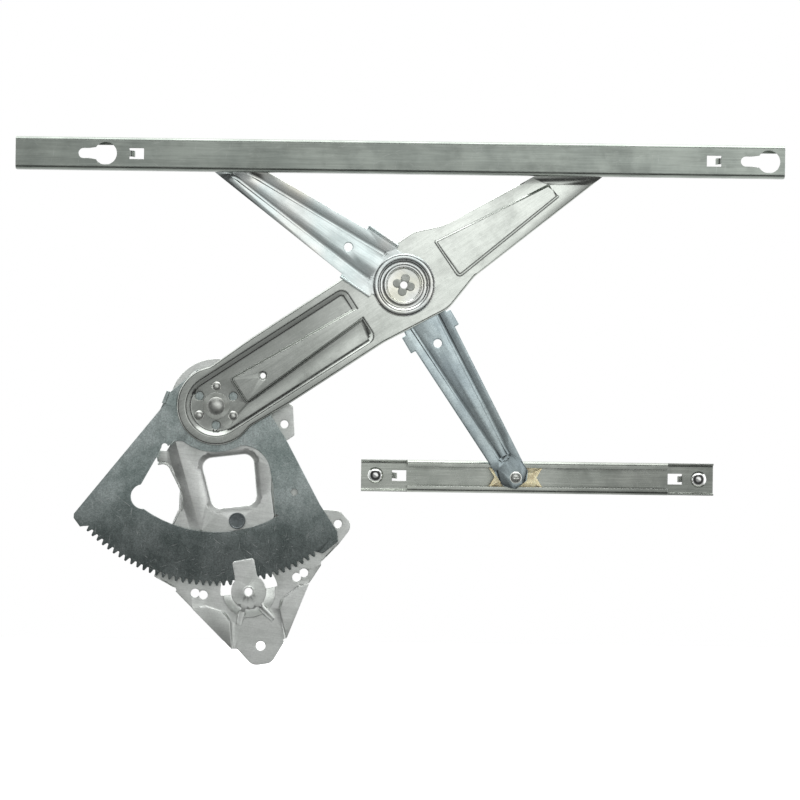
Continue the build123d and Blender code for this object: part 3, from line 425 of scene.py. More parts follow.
class Effects:
    """All shared effects, built once."""

    def __init__(self) -> None:
        """Build the groups."""
        self.groups = {kind.title: kind().group for kind in (
            EdgeWearAndHighlight, RolledGrain, ZincBloom, HairScratches, HandlingDust)}

    def place(self, tree: Tree, title: str, **values: float) -> bpy.types.Node:
        """Put an effect into a material.

        Args:
            tree: The material's tree.
            title: Name of the effect.
            values: Values of its inputs, with the input's name in lower case.

        Returns:
            The group's node.
        """
        node = tree.add("ShaderNodeGroup", node_tree=self.groups[title])
        for name, value in values.items():
            node.inputs[name.capitalize()].default_value = value
        return node


# Finishes

@dataclass(frozen=True)
class PaintedShadeZone:
    """Painted shade and painted reflection: a change of tone along one axis, none at start, the
    full change from end on.

    Attributes:
        along: Axis of the change.
        start: Place where the tone begins to change, in metres.
        end: Place where it has changed.
        tone: Factor on the colour there, a painted shade below 1 and a painted reflection above 1.
    """

    along: Along
    start: float
    end: float
    tone: float


@dataclass(frozen=True)
class MetalFinish:
    """A plated or bare steel surface.

    Attributes:
        slot: The record's material slot.
        colour: Colour of the clean surface.
        shade: Colour of its clouded patches.
        rough: Roughness of the clean surface.
        dull: Extra roughness of smudges and patches.
        grain_turn: Direction of the rolling lines, in degrees from the horizontal.
        grain_length: How much longer than wide the lines are.
        grain_scale: Lines per metre.
        grain_tone: How far the lines darken the colour.
        grain_depth: Height of the lines, in metres.
        cloud: Clouds per metre.
        crystal: Crystals per metre.
        spangle: How far the crystals change the colour.
        scratches: How bright the scratches are.
        worn_and_highlight: Colour of scratches and of the edges, partly abraded metal and partly a
            painted highlight.
        wear_and_highlight: Strength of the edges' colour, partly abrasion and partly a painted
            highlight.
        edge: Radius of the rounded edges, in metres.
        tints: Two faint colours that drift over the plating, or none.
        painted_shade_zones: Painted shade and painted reflection, as changes of tone along the
            axes.
        polish: How much smoother the abraded and highlighted edges are.
        groove: Depth of a scratch against the height of the lines.
    """

    slot: str
    colour: Colour
    shade: Colour
    rough: float = 0.3
    dull: float = 0.12
    grain_turn: float = 0.0
    grain_length: float = 14.0
    grain_scale: float = 900.0
    grain_tone: float = 0.12
    grain_depth: float = 0.00002
    cloud: float = 28.0
    crystal: float = 700.0
    spangle: float = 0.0
    scratches: float = 0.25
    worn_and_highlight: Colour = (0.95, 0.96, 0.95)
    wear_and_highlight: float = 0.5
    edge: float = 0.0004
    tints: tuple[Colour, Colour] | None = None
    painted_shade_zones: tuple[PaintedShadeZone, ...] = ()
    polish: float = 0.1
    groove: float = 0.5

    def material(self, effects: Effects) -> bpy.types.Material:
        """Build the material.

        Args:
            effects: The shared effects.

        Returns:
            The material, named after the slot.
        """
        made = bpy.data.materials.new(self.slot)
        tree = blank_tree(made)
        edge = effects.place(tree, "edge_wear", radius=self.edge)
        grain = effects.place(tree, "rolled_grain", turn=math.radians(self.grain_turn),
                              length=self.grain_length, scale=self.grain_scale)
        bloom = effects.place(tree, "zinc_bloom", cloud=self.cloud, crystal=self.crystal)
        scratch = effects.place(tree, "hair_scratches")
        dust = effects.place(tree, "handling_dust")
        colour = tree.blend(bloom.outputs["Bloom"], self.shade, self.colour)
        colour = self.tinted(tree, colour)
        lines = tree.ramp(grain.outputs["Shade"], 0.0, 1.0, 1.0 - self.grain_tone, 1.0)
        cells = tree.ramp(bloom.outputs["Spangle"], 0.0, 1.0, 1.0 - self.spangle, 1.0)
        tone = tree.times(lines, cells)
        # Painted shade and painted reflection: each gradient darkens or lightens the colour along
        # one axis.
        axes = tree.split(tree.spot())
        for painted_gradient in self.painted_shade_zones:
            part = tree.ramp(axes[painted_gradient.along.value], painted_gradient.start, painted_gradient.end, 1.0, painted_gradient.tone)
            tone = tree.times(tone, part)
        colour = tree.blend(1.0, colour, tone, "MULTIPLY")
        bright = tree.times(scratch.outputs[0], self.scratches)
        colour = tree.blend(bright, colour, self.worn_and_highlight)
        # The edges are lightened: partly abrasion, partly a painted highlight along the bends.
        rubbed_and_highlight = tree.times(edge.outputs["Wear"], self.wear_and_highlight)
        colour = tree.blend(rubbed_and_highlight, colour, self.worn_and_highlight)
        colour = tree.blend(dust.outputs["Dust"], colour, DUST_GREY)
        rough = tree.math("ADD", tree.times(dust.outputs["Smudge"], self.dull), self.rough)
        rough = tree.math("SUBTRACT", rough, tree.times(rubbed_and_highlight, self.polish))
        relief = tree.math("SUBTRACT", grain.outputs["Height"],
                           tree.times(scratch.outputs[0], self.groove))
        bump = tree.add("ShaderNodeBump", {
            "Strength": 0.6, "Distance": self.grain_depth, "Height": relief,
            "Normal": edge.outputs["Rounded"]})
        shader = tree.add("ShaderNodeBsdfPrincipled", {
            "Base Color": colour, "Metallic": 1.0, "Roughness": rough,
            "Normal": bump.outputs[0]})
        tree.add("ShaderNodeOutputMaterial", {"Surface": shader.outputs[0]})
        return made

    def tinted(self, tree: Tree, colour: bpy.types.NodeSocket) -> bpy.types.NodeSocket:
        """Let two faint tints drift over the colour.

        Args:
            tree: The material's tree.
            colour: The colour without tints.

        Returns:
            The tinted colour.
        """
        if self.tints is None:
            return colour
        drift = tree.noise(tree.spot(), 16.0, 2.0, 0.5)
        for tint, start, full in zip(self.tints, (0.45, 0.5), (0.62, 0.36)):
            share = tree.ramp(drift, start, full)
            colour = tree.blend(share, colour, tree.blend(1.0, colour, tint, "MULTIPLY"))
        return colour


@dataclass(frozen=True)
class NylonFinish:
    """Natural moulded nylon, a little waxy and stained by grease.

    Attributes:
        slot: The record's material slot.
        colour: Colour of the clean nylon.
        stain: Colour of the greasy stains.
        rough: Middle roughness.
        stained: Strength of the stains.
        wear_and_highlight: Strength of the pale edges, partly abrasion and partly a painted
            highlight.
        pale: How much lighter than the clean nylon they are.
        uneven: How far the roughness strays from its middle.
    """

    slot: str
    colour: Colour
    stain: Colour
    rough: float = 0.42
    stained: float = 0.5
    wear_and_highlight: float = 0.4
    pale: float = 1.15
    uneven: float = 0.06

    def material(self, effects: Effects) -> bpy.types.Material:
        """Build the material.

        Args:
            effects: The shared effects.

        Returns:
            The material, named after the slot.
        """
        made = bpy.data.materials.new(self.slot)
        tree = blank_tree(made)
        edge = effects.place(tree, "edge_wear", radius=0.0006)
        dust = effects.place(tree, "handling_dust", scale=120.0)
        grain = effects.place(tree, "rolled_grain", length=1.5, scale=1600.0)
        stains = tree.times(dust.outputs["Smudge"], self.stained)
        colour = tree.blend(stains, self.colour, self.stain)
        pale = tuple(min(1.0, part * self.pale) for part in self.colour)
        # The edges are paled: partly abrasion, partly a painted highlight.
        colour = tree.blend(tree.times(edge.outputs["Wear"], self.wear_and_highlight), colour, pale)
        rough = tree.ramp(grain.outputs["Shade"], 0.0, 1.0, self.rough - self.uneven,
                          self.rough + self.uneven)
        bump = tree.add("ShaderNodeBump", {
            "Strength": 0.4, "Distance": 0.00003, "Height": grain.outputs["Height"],
            "Normal": edge.outputs["Rounded"]})
        shader = tree.add("ShaderNodeBsdfPrincipled", {
            "Base Color": colour, "Metallic": 0.0, "Roughness": rough, "IOR": 1.53,
            "Subsurface Weight": 0.08, "Subsurface Radius": (0.002, 0.0015, 0.001),
            "Normal": bump.outputs[0]})
        tree.add("ShaderNodeOutputMaterial", {"Surface": shader.outputs[0]})
        return made


@dataclass(frozen=True)
class FinishBook:
    """Every finish of the regulator.

    Attributes:
        finishes: One finish for each of the record's slots.
    """

    finishes: tuple[MetalFinish | NylonFinish, ...]

    def mix(self, effects: Effects) -> dict[str, bpy.types.Material]:
        """Make all materials.

        Args:
            effects: The shared effects.

        Returns:
            Material by slot.
        """
        return {finish.slot: finish.material(effects) for finish in self.finishes}


def plated_finishes() -> FinishBook:
    """The finishes as the pieces show them.

    Returns:
        A finish for each material slot of the record.
    """
    return FinishBook((
        # The plate's strong, wide edge colour paints bright highlight lines along its bends,
        # partly abrasion.
        MetalFinish("zinc_plate", (0.97, 1.0, 0.97), (0.80, 0.84, 0.80), rough=0.36,
                    grain_turn=-8.0, crystal=900.0, spangle=0.08, wear_and_highlight=1.0, edge=0.0008),
        # The sector's gradient paints a reflection: lighter towards the top.
        MetalFinish("sector_steel", (0.22, 0.25, 0.245), (0.12, 0.145, 0.14), rough=0.29,
                    grain_turn=90.0, grain_length=5.0, grain_tone=0.14, grain_scale=1300.0,
                    cloud=45.0, crystal=1300.0, spangle=0.3, scratches=0.7, wear_and_highlight=0.6,
                    painted_shade_zones=(PaintedShadeZone(Along.HEIGHT, 0.07, 0.15, 2.8),)),
        # The arm's gradients paint shade: darker towards the left end and where the sheet lies
        # further back.
        MetalFinish("arm_steel", (0.94, 0.99, 0.93), (0.80, 0.85, 0.79), rough=0.19,
                    grain_turn=33.5, crystal=500.0, spangle=0.05, cloud=18.0, edge=0.0007,
                    painted_shade_zones=(PaintedShadeZone(Along.ACROSS, 0.135, 0.0, 0.52),
                           PaintedShadeZone(Along.DEPTH, -0.0125, -0.0108, 0.85))),
        MetalFinish("cross_steel", (0.99, 1.0, 0.97), (0.86, 0.91, 0.88), rough=0.19,
                    grain_turn=-33.5, edge=0.0006, tints=((0.90, 0.98, 1.0), (1.0, 0.97, 0.86))),
        # This gradient paints shade: darker towards the bottom.
        MetalFinish("blue_zinc", (0.72, 0.84, 0.85), (0.52, 0.62, 0.65), rough=0.21,
                    grain_turn=-59.0, crystal=1500.0, spangle=0.2,
                    painted_shade_zones=(PaintedShadeZone(Along.HEIGHT, 0.25, 0.17, 0.7),)),
        # This gradient paints a reflection: lighter towards the right.
        MetalFinish("channel_steel", (0.39, 0.43, 0.39), (0.31, 0.345, 0.315), rough=0.3,
                    grain_length=30.0, grain_tone=0.2,
                    painted_shade_zones=(PaintedShadeZone(Along.ACROSS, -0.15, 0.35, 1.2),)),
        # This gradient paints shade: darker towards the right end.
        MetalFinish("guide_steel", (0.66, 0.70, 0.64), (0.50, 0.54, 0.49), rough=0.25,
                    grain_length=30.0, grain_tone=0.25,
                    painted_shade_zones=(PaintedShadeZone(Along.ACROSS, 0.2, 0.33, 0.55),)),
        MetalFinish("washer_steel", (0.56, 0.59, 0.55), (0.36, 0.38, 0.35), rough=0.3,
                    cloud=120.0, wear_and_highlight=0.8),
        MetalFinish("bright_steel", (0.86, 0.89, 0.84), (0.62, 0.64, 0.60), rough=0.3,
                    cloud=160.0),
        MetalFinish("stud_steel", (0.22, 0.25, 0.255), (0.14, 0.16, 0.165), rough=0.3,
                    cloud=160.0, wear_and_highlight=0.2),
        MetalFinish("polished_stud", (0.90, 0.92, 0.90), (0.76, 0.77, 0.75), rough=0.14,
                    dull=0.06, grain_tone=0.04, scratches=0.1, cloud=200.0),
        NylonFinish("glide_nylon", (0.70, 0.64, 0.42), (0.20, 0.13, 0.05), stained=0.75),
        NylonFinish("spacer_nylon", (0.72, 0.66, 0.46), (0.42, 0.34, 0.2), stained=0.35),
    ))


# Pieces

def corners_of(node: str) -> tuple[Vector, Vector]:
    """Lowest and highest corner of a node's box."""
    low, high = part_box(node)
    return Vector(low), Vector(high)


def mesh_of(work: bmesh.types.BMesh, name: str) -> bpy.types.Mesh:
    """Turn a work into a mesh and free it.

    Args:
        work: The work.
        name: Name of the mesh.

    Returns:
        The mesh.
    """
    mesh = bpy.data.meshes.new(name)
    work.to_mesh(mesh)
    work.free()
    return mesh


@dataclass(frozen=True)
class Rounding:
    """Rounds a mesh's edges, and leaves them sharp at corners where there is no room for it.

    Attributes:
        width: Width of the rounding, in metres.
        least: Least angle between two faces that is an edge, in degrees.
        segments: Faces across the rounding.
        tries: How often corners are left out before what still strays is put back.
        folded: Cosine to the sharp surface under which a face is folded over.
        speck: Area under which a face has no direction, in square metres.
    """

    width: float
    least: float = 24.0
    segments: int = 3
    tries: int = 8
    folded: float = -0.1
    speck: float = 1e-12

    @property
    def stray(self) -> float:
        """Distance from the sharp surface beyond which a corner has strayed."""
        return self.width / 2

    def work_on(self, piece: bpy.types.Object) -> None:
        """Round a piece's edges.

        Args:
            piece: The piece; its mesh has its triangles joined.
        """
        whole = bmesh.new()
        whole.from_mesh(piece.data)
        surface = BVHTree.FromBMesh(whole)
        corners = KDTree(len(whole.verts))
        for corner in whole.verts:
            corners.insert(corner.co, corner.index)
        corners.balance()
        whole.free()
        tight: set[int] = set()
        for attempt in range(self.tries):
            work = self.rounded(piece.data, tight)
            found = self.crowded(work, surface, corners) - tight
            if not found or attempt == self.tries - 1:
                break
            tight |= found
            work.free()
        for corner in work.verts:
            spot, _, _, gap = surface.find_nearest(corner.co)
            if gap > self.stray:
                corner.co = spot
        work.to_mesh(piece.data)
        work.free()
        log.info("%s: %d corners left sharp", piece.name, len(tight))

    def rounded(self, mesh: bpy.types.Mesh, tight: set[int]) -> bmesh.types.BMesh:
        """Round all edges but those at tight corners.

        Args:
            mesh: The sharp mesh.
            tight: Numbers of the corners that stay sharp.

        Returns:
            The rounded mesh.
        """
        work = bmesh.new()
        work.from_mesh(mesh)
        least = math.radians(self.least)
        edges = [edge for edge in work.edges if len(edge.link_faces) == 2
                 and edge.calc_face_angle(0.0) > least
                 and not any(corner.index in tight for corner in edge.verts)]
        bmesh.ops.bevel(work, geom=edges, offset=self.width, offset_type="OFFSET",
                        segments=self.segments, profile=0.5, affect="EDGES",
                        clamp_overlap=False)
        return work

    def crowded(self, work: bmesh.types.BMesh, surface: BVHTree,
                corners: KDTree) -> set[int]:
        """Corners beside which the rounded mesh strays or folds over.

        Args:
            work: The rounded mesh.
            surface: The sharp surface.
            corners: The sharp mesh's corners.

        Returns:
            Numbers of those corners.
        """
        work.normal_update()
        found = set()
        for corner in work.verts:
            if surface.find_nearest(corner.co)[3] > self.stray:
                found |= {corners.find(edge.other_vert(corner).co)[1]
                          for edge in corner.link_edges}
                found.add(corners.find(corner.co)[1])
        for face in work.faces:
            normal = surface.find_nearest(face.calc_center_median())[1]
            if face.calc_area() > self.speck and face.normal.dot(normal) < self.folded:
                found |= {corners.find(corner.co)[1] for corner in face.verts}
        return found


# The shells of a grown piece overlap, which a second try would take for crowded corners.
GROWN = Rounding(0.00018, least=50.0, segments=2, tries=1)


class Bench:
    """Takes pieces from the frame, softens their edges and hands them over finished."""

    def __init__(self, materials: dict[str, bpy.types.Material]) -> None:
        """Learn the nodes' bodies and slots.

        Args:
            materials: Material by slot.
        """
        self.materials = materials
        record = frame["record"]
        self.body_of = {node: body for body, nodes in record["behaviour"]["bodies"].items()
                        for node in nodes}
        self.slot_of = {part["node"]: part["material_slot"] for part in record["subparts"]}

    def finish_of(self, node: str) -> bpy.types.Material:
        """Material that a node wears."""
        return self.materials[self.slot_of[node]]

    def new_piece(self, name: str, mesh: bpy.types.Mesh) -> bpy.types.Object:
        """Put a mesh into the scene as an object at the origin.

        Args:
            name: Name of the object.
            mesh: Its mesh.

        Returns:
            The object.
        """
        piece = bpy.data.objects.new(name, mesh)
        bpy.context.scene.collection.objects.link(piece)
        return piece

    def merged_copy(self, node: str, name: str) -> bpy.types.Object:
        """Copy a node with its triangles joined.

        Args:
            node: The frame's node.
            name: Name of the new piece.

        Returns:
            The new piece.
        """
        work = bmesh.new()
        work.from_mesh(frame["nodes"][node].data)
        bmesh.ops.remove_doubles(work, verts=work.verts, dist=CAD_GRID)
        return self.new_piece(name, mesh_of(work, name))

    def applied(self, piece: bpy.types.Object) -> None:
        """Turn a piece's modifiers into its own mesh and remove them.

        Args:
            piece: The piece.
        """
        bpy.context.view_layer.update()
        graph = bpy.context.evaluated_depsgraph_get()
        done = bpy.data.meshes.new_from_object(piece.evaluated_get(graph))
        piece.modifiers.clear()
        piece.data = done
        done.name = piece.name

    def soften(self, piece: bpy.types.Object, rounding: Rounding) -> None:
        """Round a piece's edges and shade it smooth up to them.

        Args:
            piece: The piece.
            rounding: The rounding of its edges.
        """
        rounding.work_on(piece)
        piece.data.shade_smooth()
        piece.data.set_sharp_from_angle(angle=math.radians(SMOOTH_UP_TO))
        weighted = piece.modifiers.new("flats_first", "WEIGHTED_NORMAL")
        weighted.weight = 100
        weighted.keep_sharp = True
        self.applied(piece)

    def punched(self, piece: bpy.types.Object, tool: bpy.types.Object) -> None:
        """Cut a tool out of a piece and drop the tool.

        Args:
            piece: The piece.
            tool: The tool.
        """
        cut = piece.modifiers.new("punch", "BOOLEAN")
        cut.operation, cut.solver, cut.object = "DIFFERENCE", "EXACT", tool
        self.applied(piece)
        bpy.data.objects.remove(tool)

    def hand_over(self, piece: bpy.types.Object, *nodes: str) -> bpy.types.Object:
        """Dress a finished piece and let it stand for its nodes.

        Args:
            piece: The finished piece.
            nodes: The nodes that it replaces, all on one body and of one slot.

        Returns:
            The same piece.
        """
        piece.data.materials.clear()
        piece.data.materials.append(self.finish_of(nodes[0]))
        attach(piece, self.body_of[nodes[0]])
        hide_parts(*nodes)
        log.info("%s rides on %s, %d faces", piece.name, self.body_of[nodes[0]],
                 len(piece.data.polygons))
        return piece

    def pressed(self, node: str, name: str, width: float) -> bpy.types.Object:
        """Make a piece from a node by rounding its edges.

        Args:
            node: The frame's node.
            name: Name of the piece.
            width: Width of the rounding, in metres.

        Returns:
            The finished piece.
        """
        piece = self.merged_copy(node, name)
        self.soften(piece, Rounding(width))
        return self.hand_over(piece, node)


class ShapeTree(NodeGroup):
    """Base of the shape trees: a Geometry Nodes group with named inputs."""

    kind = "GeometryNodeTree"
    inputs: dict[str, tuple[str, object]] = {}

    def __init__(self) -> None:
        """Build the group, its sockets and its nodes."""
        super().__init__()
        self.socket("Geometry", "INPUT", "Geometry")
        self.sockets = {name: self.socket(name, "INPUT", kind, value)
                        for name, (kind, value) in self.inputs.items()}
        self.socket("Geometry", "OUTPUT", "Geometry")
        self.entry = self.tree.add("NodeGroupInput")
        shape = self.wire()
        real = self.tree.add("GeometryNodeRealizeInstances", {"Geometry": shape})
        dressed = self.tree.add("GeometryNodeSetMaterial", {
            "Geometry": real.outputs[0], "Material": self.given("Finish")})
        self.tree.add("NodeGroupOutput", {0: dressed.outputs[0]})

    def wire(self) -> bpy.types.NodeSocket:
        """Build the shape; each tree has its own way.

        Returns:
            The geometry before it is realised and dressed.
        """
        raise NotImplementedError

    def grow(self, piece: bpy.types.Object, bench: Bench, **values: object) -> None:
        """Grow a piece from its own points and keep the result as a plain mesh.

        Args:
            piece: The piece; its mesh holds the tree's points.
            bench: The bench that turns the result into a mesh.
            values: Value of each input, its name written with low lines.
        """
        modifier = piece.modifiers.new(self.title, "NODES")
        modifier.node_group = self.group
        for name, value in values.items():
            modifier[self.sockets[name.replace("_", " ").title()]] = value
        bench.applied(piece)


class HeadedPin(ShapeTree):
    """Turned pins, studs and rivets: a domed head on a shank, with a collar where there is one."""

    title = "headed_pin"
    inputs = {
        "Head Radius": ("Float", 0.005), "Head Height": ("Float", 0.002),
        "Shank Radius": ("Float", 0.003), "Shank Length": ("Float", 0.01),
        "Collar Radius": ("Float", 0.0), "Collar Height": ("Float", 0.001),
        "Collar Drop": ("Float", 0.0), "Lean": ("Float", math.pi / 2),
        "Finish": ("Material", None)}
    no_zero = 1e-9              # least reach that is divided by, in metres

    def wire(self) -> bpy.types.NodeSocket:
        """Flatten a ball under its seat, add the shank and collar, and set one on each point.

        Returns:
            The pins as instances.
        """
        tree = self.tree
        rim, rise = self.given("Head Radius"), self.given("Head Height")
        squares = tree.math("ADD", tree.times(rim, rim), tree.times(rise, rise))
        ball = tree.math("DIVIDE", squares, tree.times(rise, 2.0))
        seat = tree.math("SUBTRACT", ball, rise)
        sphere = tree.add("GeometryNodeMeshUVSphere", {
            "Segments": 56, "Rings": 64, "Radius": ball})
        x, y, z = tree.split(tree.add("GeometryNodeInputPosition").outputs[0])
        reach = tree.add("ShaderNodeVectorMath", {0: tree.combine(x, y)}, operation="LENGTH")
        span = tree.math("MAXIMUM", reach.outputs["Value"], self.no_zero)
        share = tree.math("DIVIDE", tree.math("MINIMUM", span, rim), span)
        height = tree.math("SUBTRACT", tree.math("MAXIMUM", z, seat), seat)
        target = tree.combine(tree.times(x, share), tree.times(y, share), height)
        cap = tree.add("GeometryNodeSetPosition", {
            "Geometry": sphere.outputs["Mesh"], "Position": target})
        head = tree.add("GeometryNodeMergeByDistance", {
            "Geometry": cap.outputs[0], "Distance": SAME_SPOT})
        shank = self.barrel("Shank Radius", "Shank Length", None)
        collar = self.barrel("Collar Radius", "Collar Height", "Collar Drop")
        wanted = tree.add("FunctionNodeCompare", {0: self.given("Collar Radius"), 1: 0.0},
                          data_type="FLOAT", operation="GREATER_THAN")
        kept = tree.add("GeometryNodeSwitch", {
            "Switch": wanted.outputs[0], "True": collar}, input_type="GEOMETRY")
        spots = tree.add("GeometryNodeInstanceOnPoints", {
            "Points": self.given("Geometry"),
            "Instance": tree.gathered(head.outputs[0], shank, kept.outputs[0]),
            "Rotation": tree.combine(self.given("Lean"))})
        return spots.outputs[0]

    def barrel(self, radius: str, length: str, drop: str | None) -> bpy.types.NodeSocket:
        """Round bar that hangs below the head's seat.

        Args:
            radius: Name of the input with its radius.
            length: Name of the input with its length.
            drop: Name of the input with its distance below the seat, or None at the seat.

        Returns:
            The bar.
        """
        tree = self.tree
        bar = tree.add("GeometryNodeMeshCylinder", {
            "Vertices": 48, "Radius": self.given(radius), "Depth": self.given(length)})
        middle = tree.times(self.given(length), -0.5)
        if drop is not None:
            middle = tree.math("SUBTRACT", middle, self.given(drop))
        moved = tree.add("GeometryNodeTransform", {
            "Geometry": bar.outputs["Mesh"], "Translation": tree.combine(0.0, 0.0, middle)})
        return moved.outputs[0]


class RolledStrip(ShapeTree):
    """Strip of sheet bent along a line and drawn out straight, less what is punched from it."""

    title = "rolled_strip"
    inputs = {
        "Run": ("Vector", (1.0, 0.0, 0.0)), "Sheet": ("Float", 0.0015),
        "Corner": ("Float", 0.003), "Punch": ("Object", None), "Finish": ("Material", None)}
    steps = 8                   # straight pieces in each bend

    def wire(self) -> bpy.types.NodeSocket:
        """Round the line's corners, draw it out, thicken it inwards and punch it.

        Returns:
            The strip.
        """
        tree = self.tree
        line = tree.add("GeometryNodeMeshToCurve", {"Mesh": self.given("Geometry")})
        bent = tree.add("GeometryNodeFilletCurve", {
            "Curve": line.outputs[0], "Radius": self.given("Corner")}, mode="POLY")
        for socket in bent.inputs:
            if socket.name == "Count":
                socket.default_value = self.steps
            if socket.name == "Limit Radius":
                socket.default_value = True
        wire = tree.add("GeometryNodeCurveToMesh", {"Curve": bent.outputs[0]})
        skin = tree.add("GeometryNodeExtrudeMesh", {
            "Mesh": wire.outputs[0], "Offset": self.given("Run"), "Offset Scale": 1.0},
            mode="EDGES")
        wall = tree.add("GeometryNodeExtrudeMesh", {
            "Mesh": skin.outputs[0], "Offset Scale": self.given("Sheet"), "Individual": False},
            mode="FACES")
        back = tree.add("GeometryNodeFlipFaces", {"Mesh": skin.outputs[0]})
        closed = tree.add("GeometryNodeMergeByDistance", {
            "Geometry": tree.gathered(wall.outputs[0], back.outputs[0]),
            "Distance": SAME_SPOT})
        tool = tree.add("GeometryNodeObjectInfo", {"Object": self.given("Punch")})
        cut = tree.add("GeometryNodeMeshBoolean", {
            "Mesh 1": closed.outputs[0], "Mesh 2": tool.outputs["Geometry"]},
            operation="DIFFERENCE", solver="EXACT")
        return cut.outputs[0]


@dataclass(frozen=True)
class Lance:
    """A window punched in a channel's web and its tab, bent inwards.

    Attributes:
        middle: Place of the window along the channel, in metres.
        side: Side of the window where the tab stands, -1 left or 1 right.
    """

    middle: float
    side: int


@dataclass(frozen=True)
class Keyhole:
    """A round entry that narrows to a slot.

    Attributes:
        middle: Place of the entry along the channel, in metres.
        run: Distance from the entry's middle to the slot's end, to the left.
        radius: Radius of the entry.
        slot: Half the slot's width.
        open_from: Angle from the right, in degrees, at which the entry's circle ends.
        neck: Share of the run where the slot has its full width.
        steps: Straight pieces in the entry's circle and in the slot's end.
    """

    middle: float
    run: float
    radius: float = 0.0094
    slot: float = 0.00415
    open_from: float = 148.0
    neck: float = 0.75
    steps: tuple[int, int] = (30, 12)

    def outline(self, height: float) -> list[Spot]:
        """Outline of the keyhole, counter-clockwise.

        Args:
            height: Height of its middle line.

        Returns:
            Corners along and up, in metres.
        """
        mouth, (round_steps, end_steps) = math.radians(self.open_from), self.steps
        neck = self.middle - self.run * self.neck
        entry = [mouth * (2 * i / round_steps - 1) for i in range(round_steps + 1)]
        tail = [math.pi * (0.5 + i / end_steps) for i in range(end_steps + 1)]

        def arc(middle: float, radius: float, turns: list[float]) -> list[Spot]:
            """Corners on a circle at the keyhole's height."""
            return [(middle + radius * math.cos(turn), height + radius * math.sin(turn))
                    for turn in turns]

        return [*arc(self.middle, self.radius, entry), (neck, height + self.slot),
                *arc(self.middle - self.run, self.slot, tail), (neck, height - self.slot)]


class PunchSet:
    """Cutting tools of a channel, gathered in one mesh."""

    def __init__(self) -> None:
        """Start with no tool."""
        self.work = bmesh.new()

    def prism(self, outline: list[Spot], front: float, back: float) -> None:
        """Add a tool that goes through along Y.

        Args:
            outline: Corners along X and Z.
            front: Lowest Y.
            back: Highest Y.
        """
        near = [self.work.verts.new((x, front, z)) for x, z in outline]
        far = [self.work.verts.new((x, back, z)) for x, z in outline]
        self.work.faces.new(near)
        self.work.faces.new(far[::-1])
        for i in range(len(near)):
            j = (i + 1) % len(near)
            self.work.faces.new((near[i], far[i], far[j], near[j]))

    def block(self, low: Point, high: Point) -> None:
        """Add a square tool.

        Args:
            low: Its lowest corner.
            high: Its highest corner.
        """
        self.prism([(low[0], low[2]), (high[0], low[2]), (high[0], high[2]), (low[0], high[2])],
                   low[1], high[1])

    def tool(self, bench: Bench, name: str) -> bpy.types.Object:
        """Make the tool an object.

        Args:
            bench: The bench that holds it.
            name: Its name.

        Returns:
            The tool.
        """
        bmesh.ops.recalc_face_normals(self.work, faces=self.work.faces)
        return bench.new_piece(name, mesh_of(self.work, name))


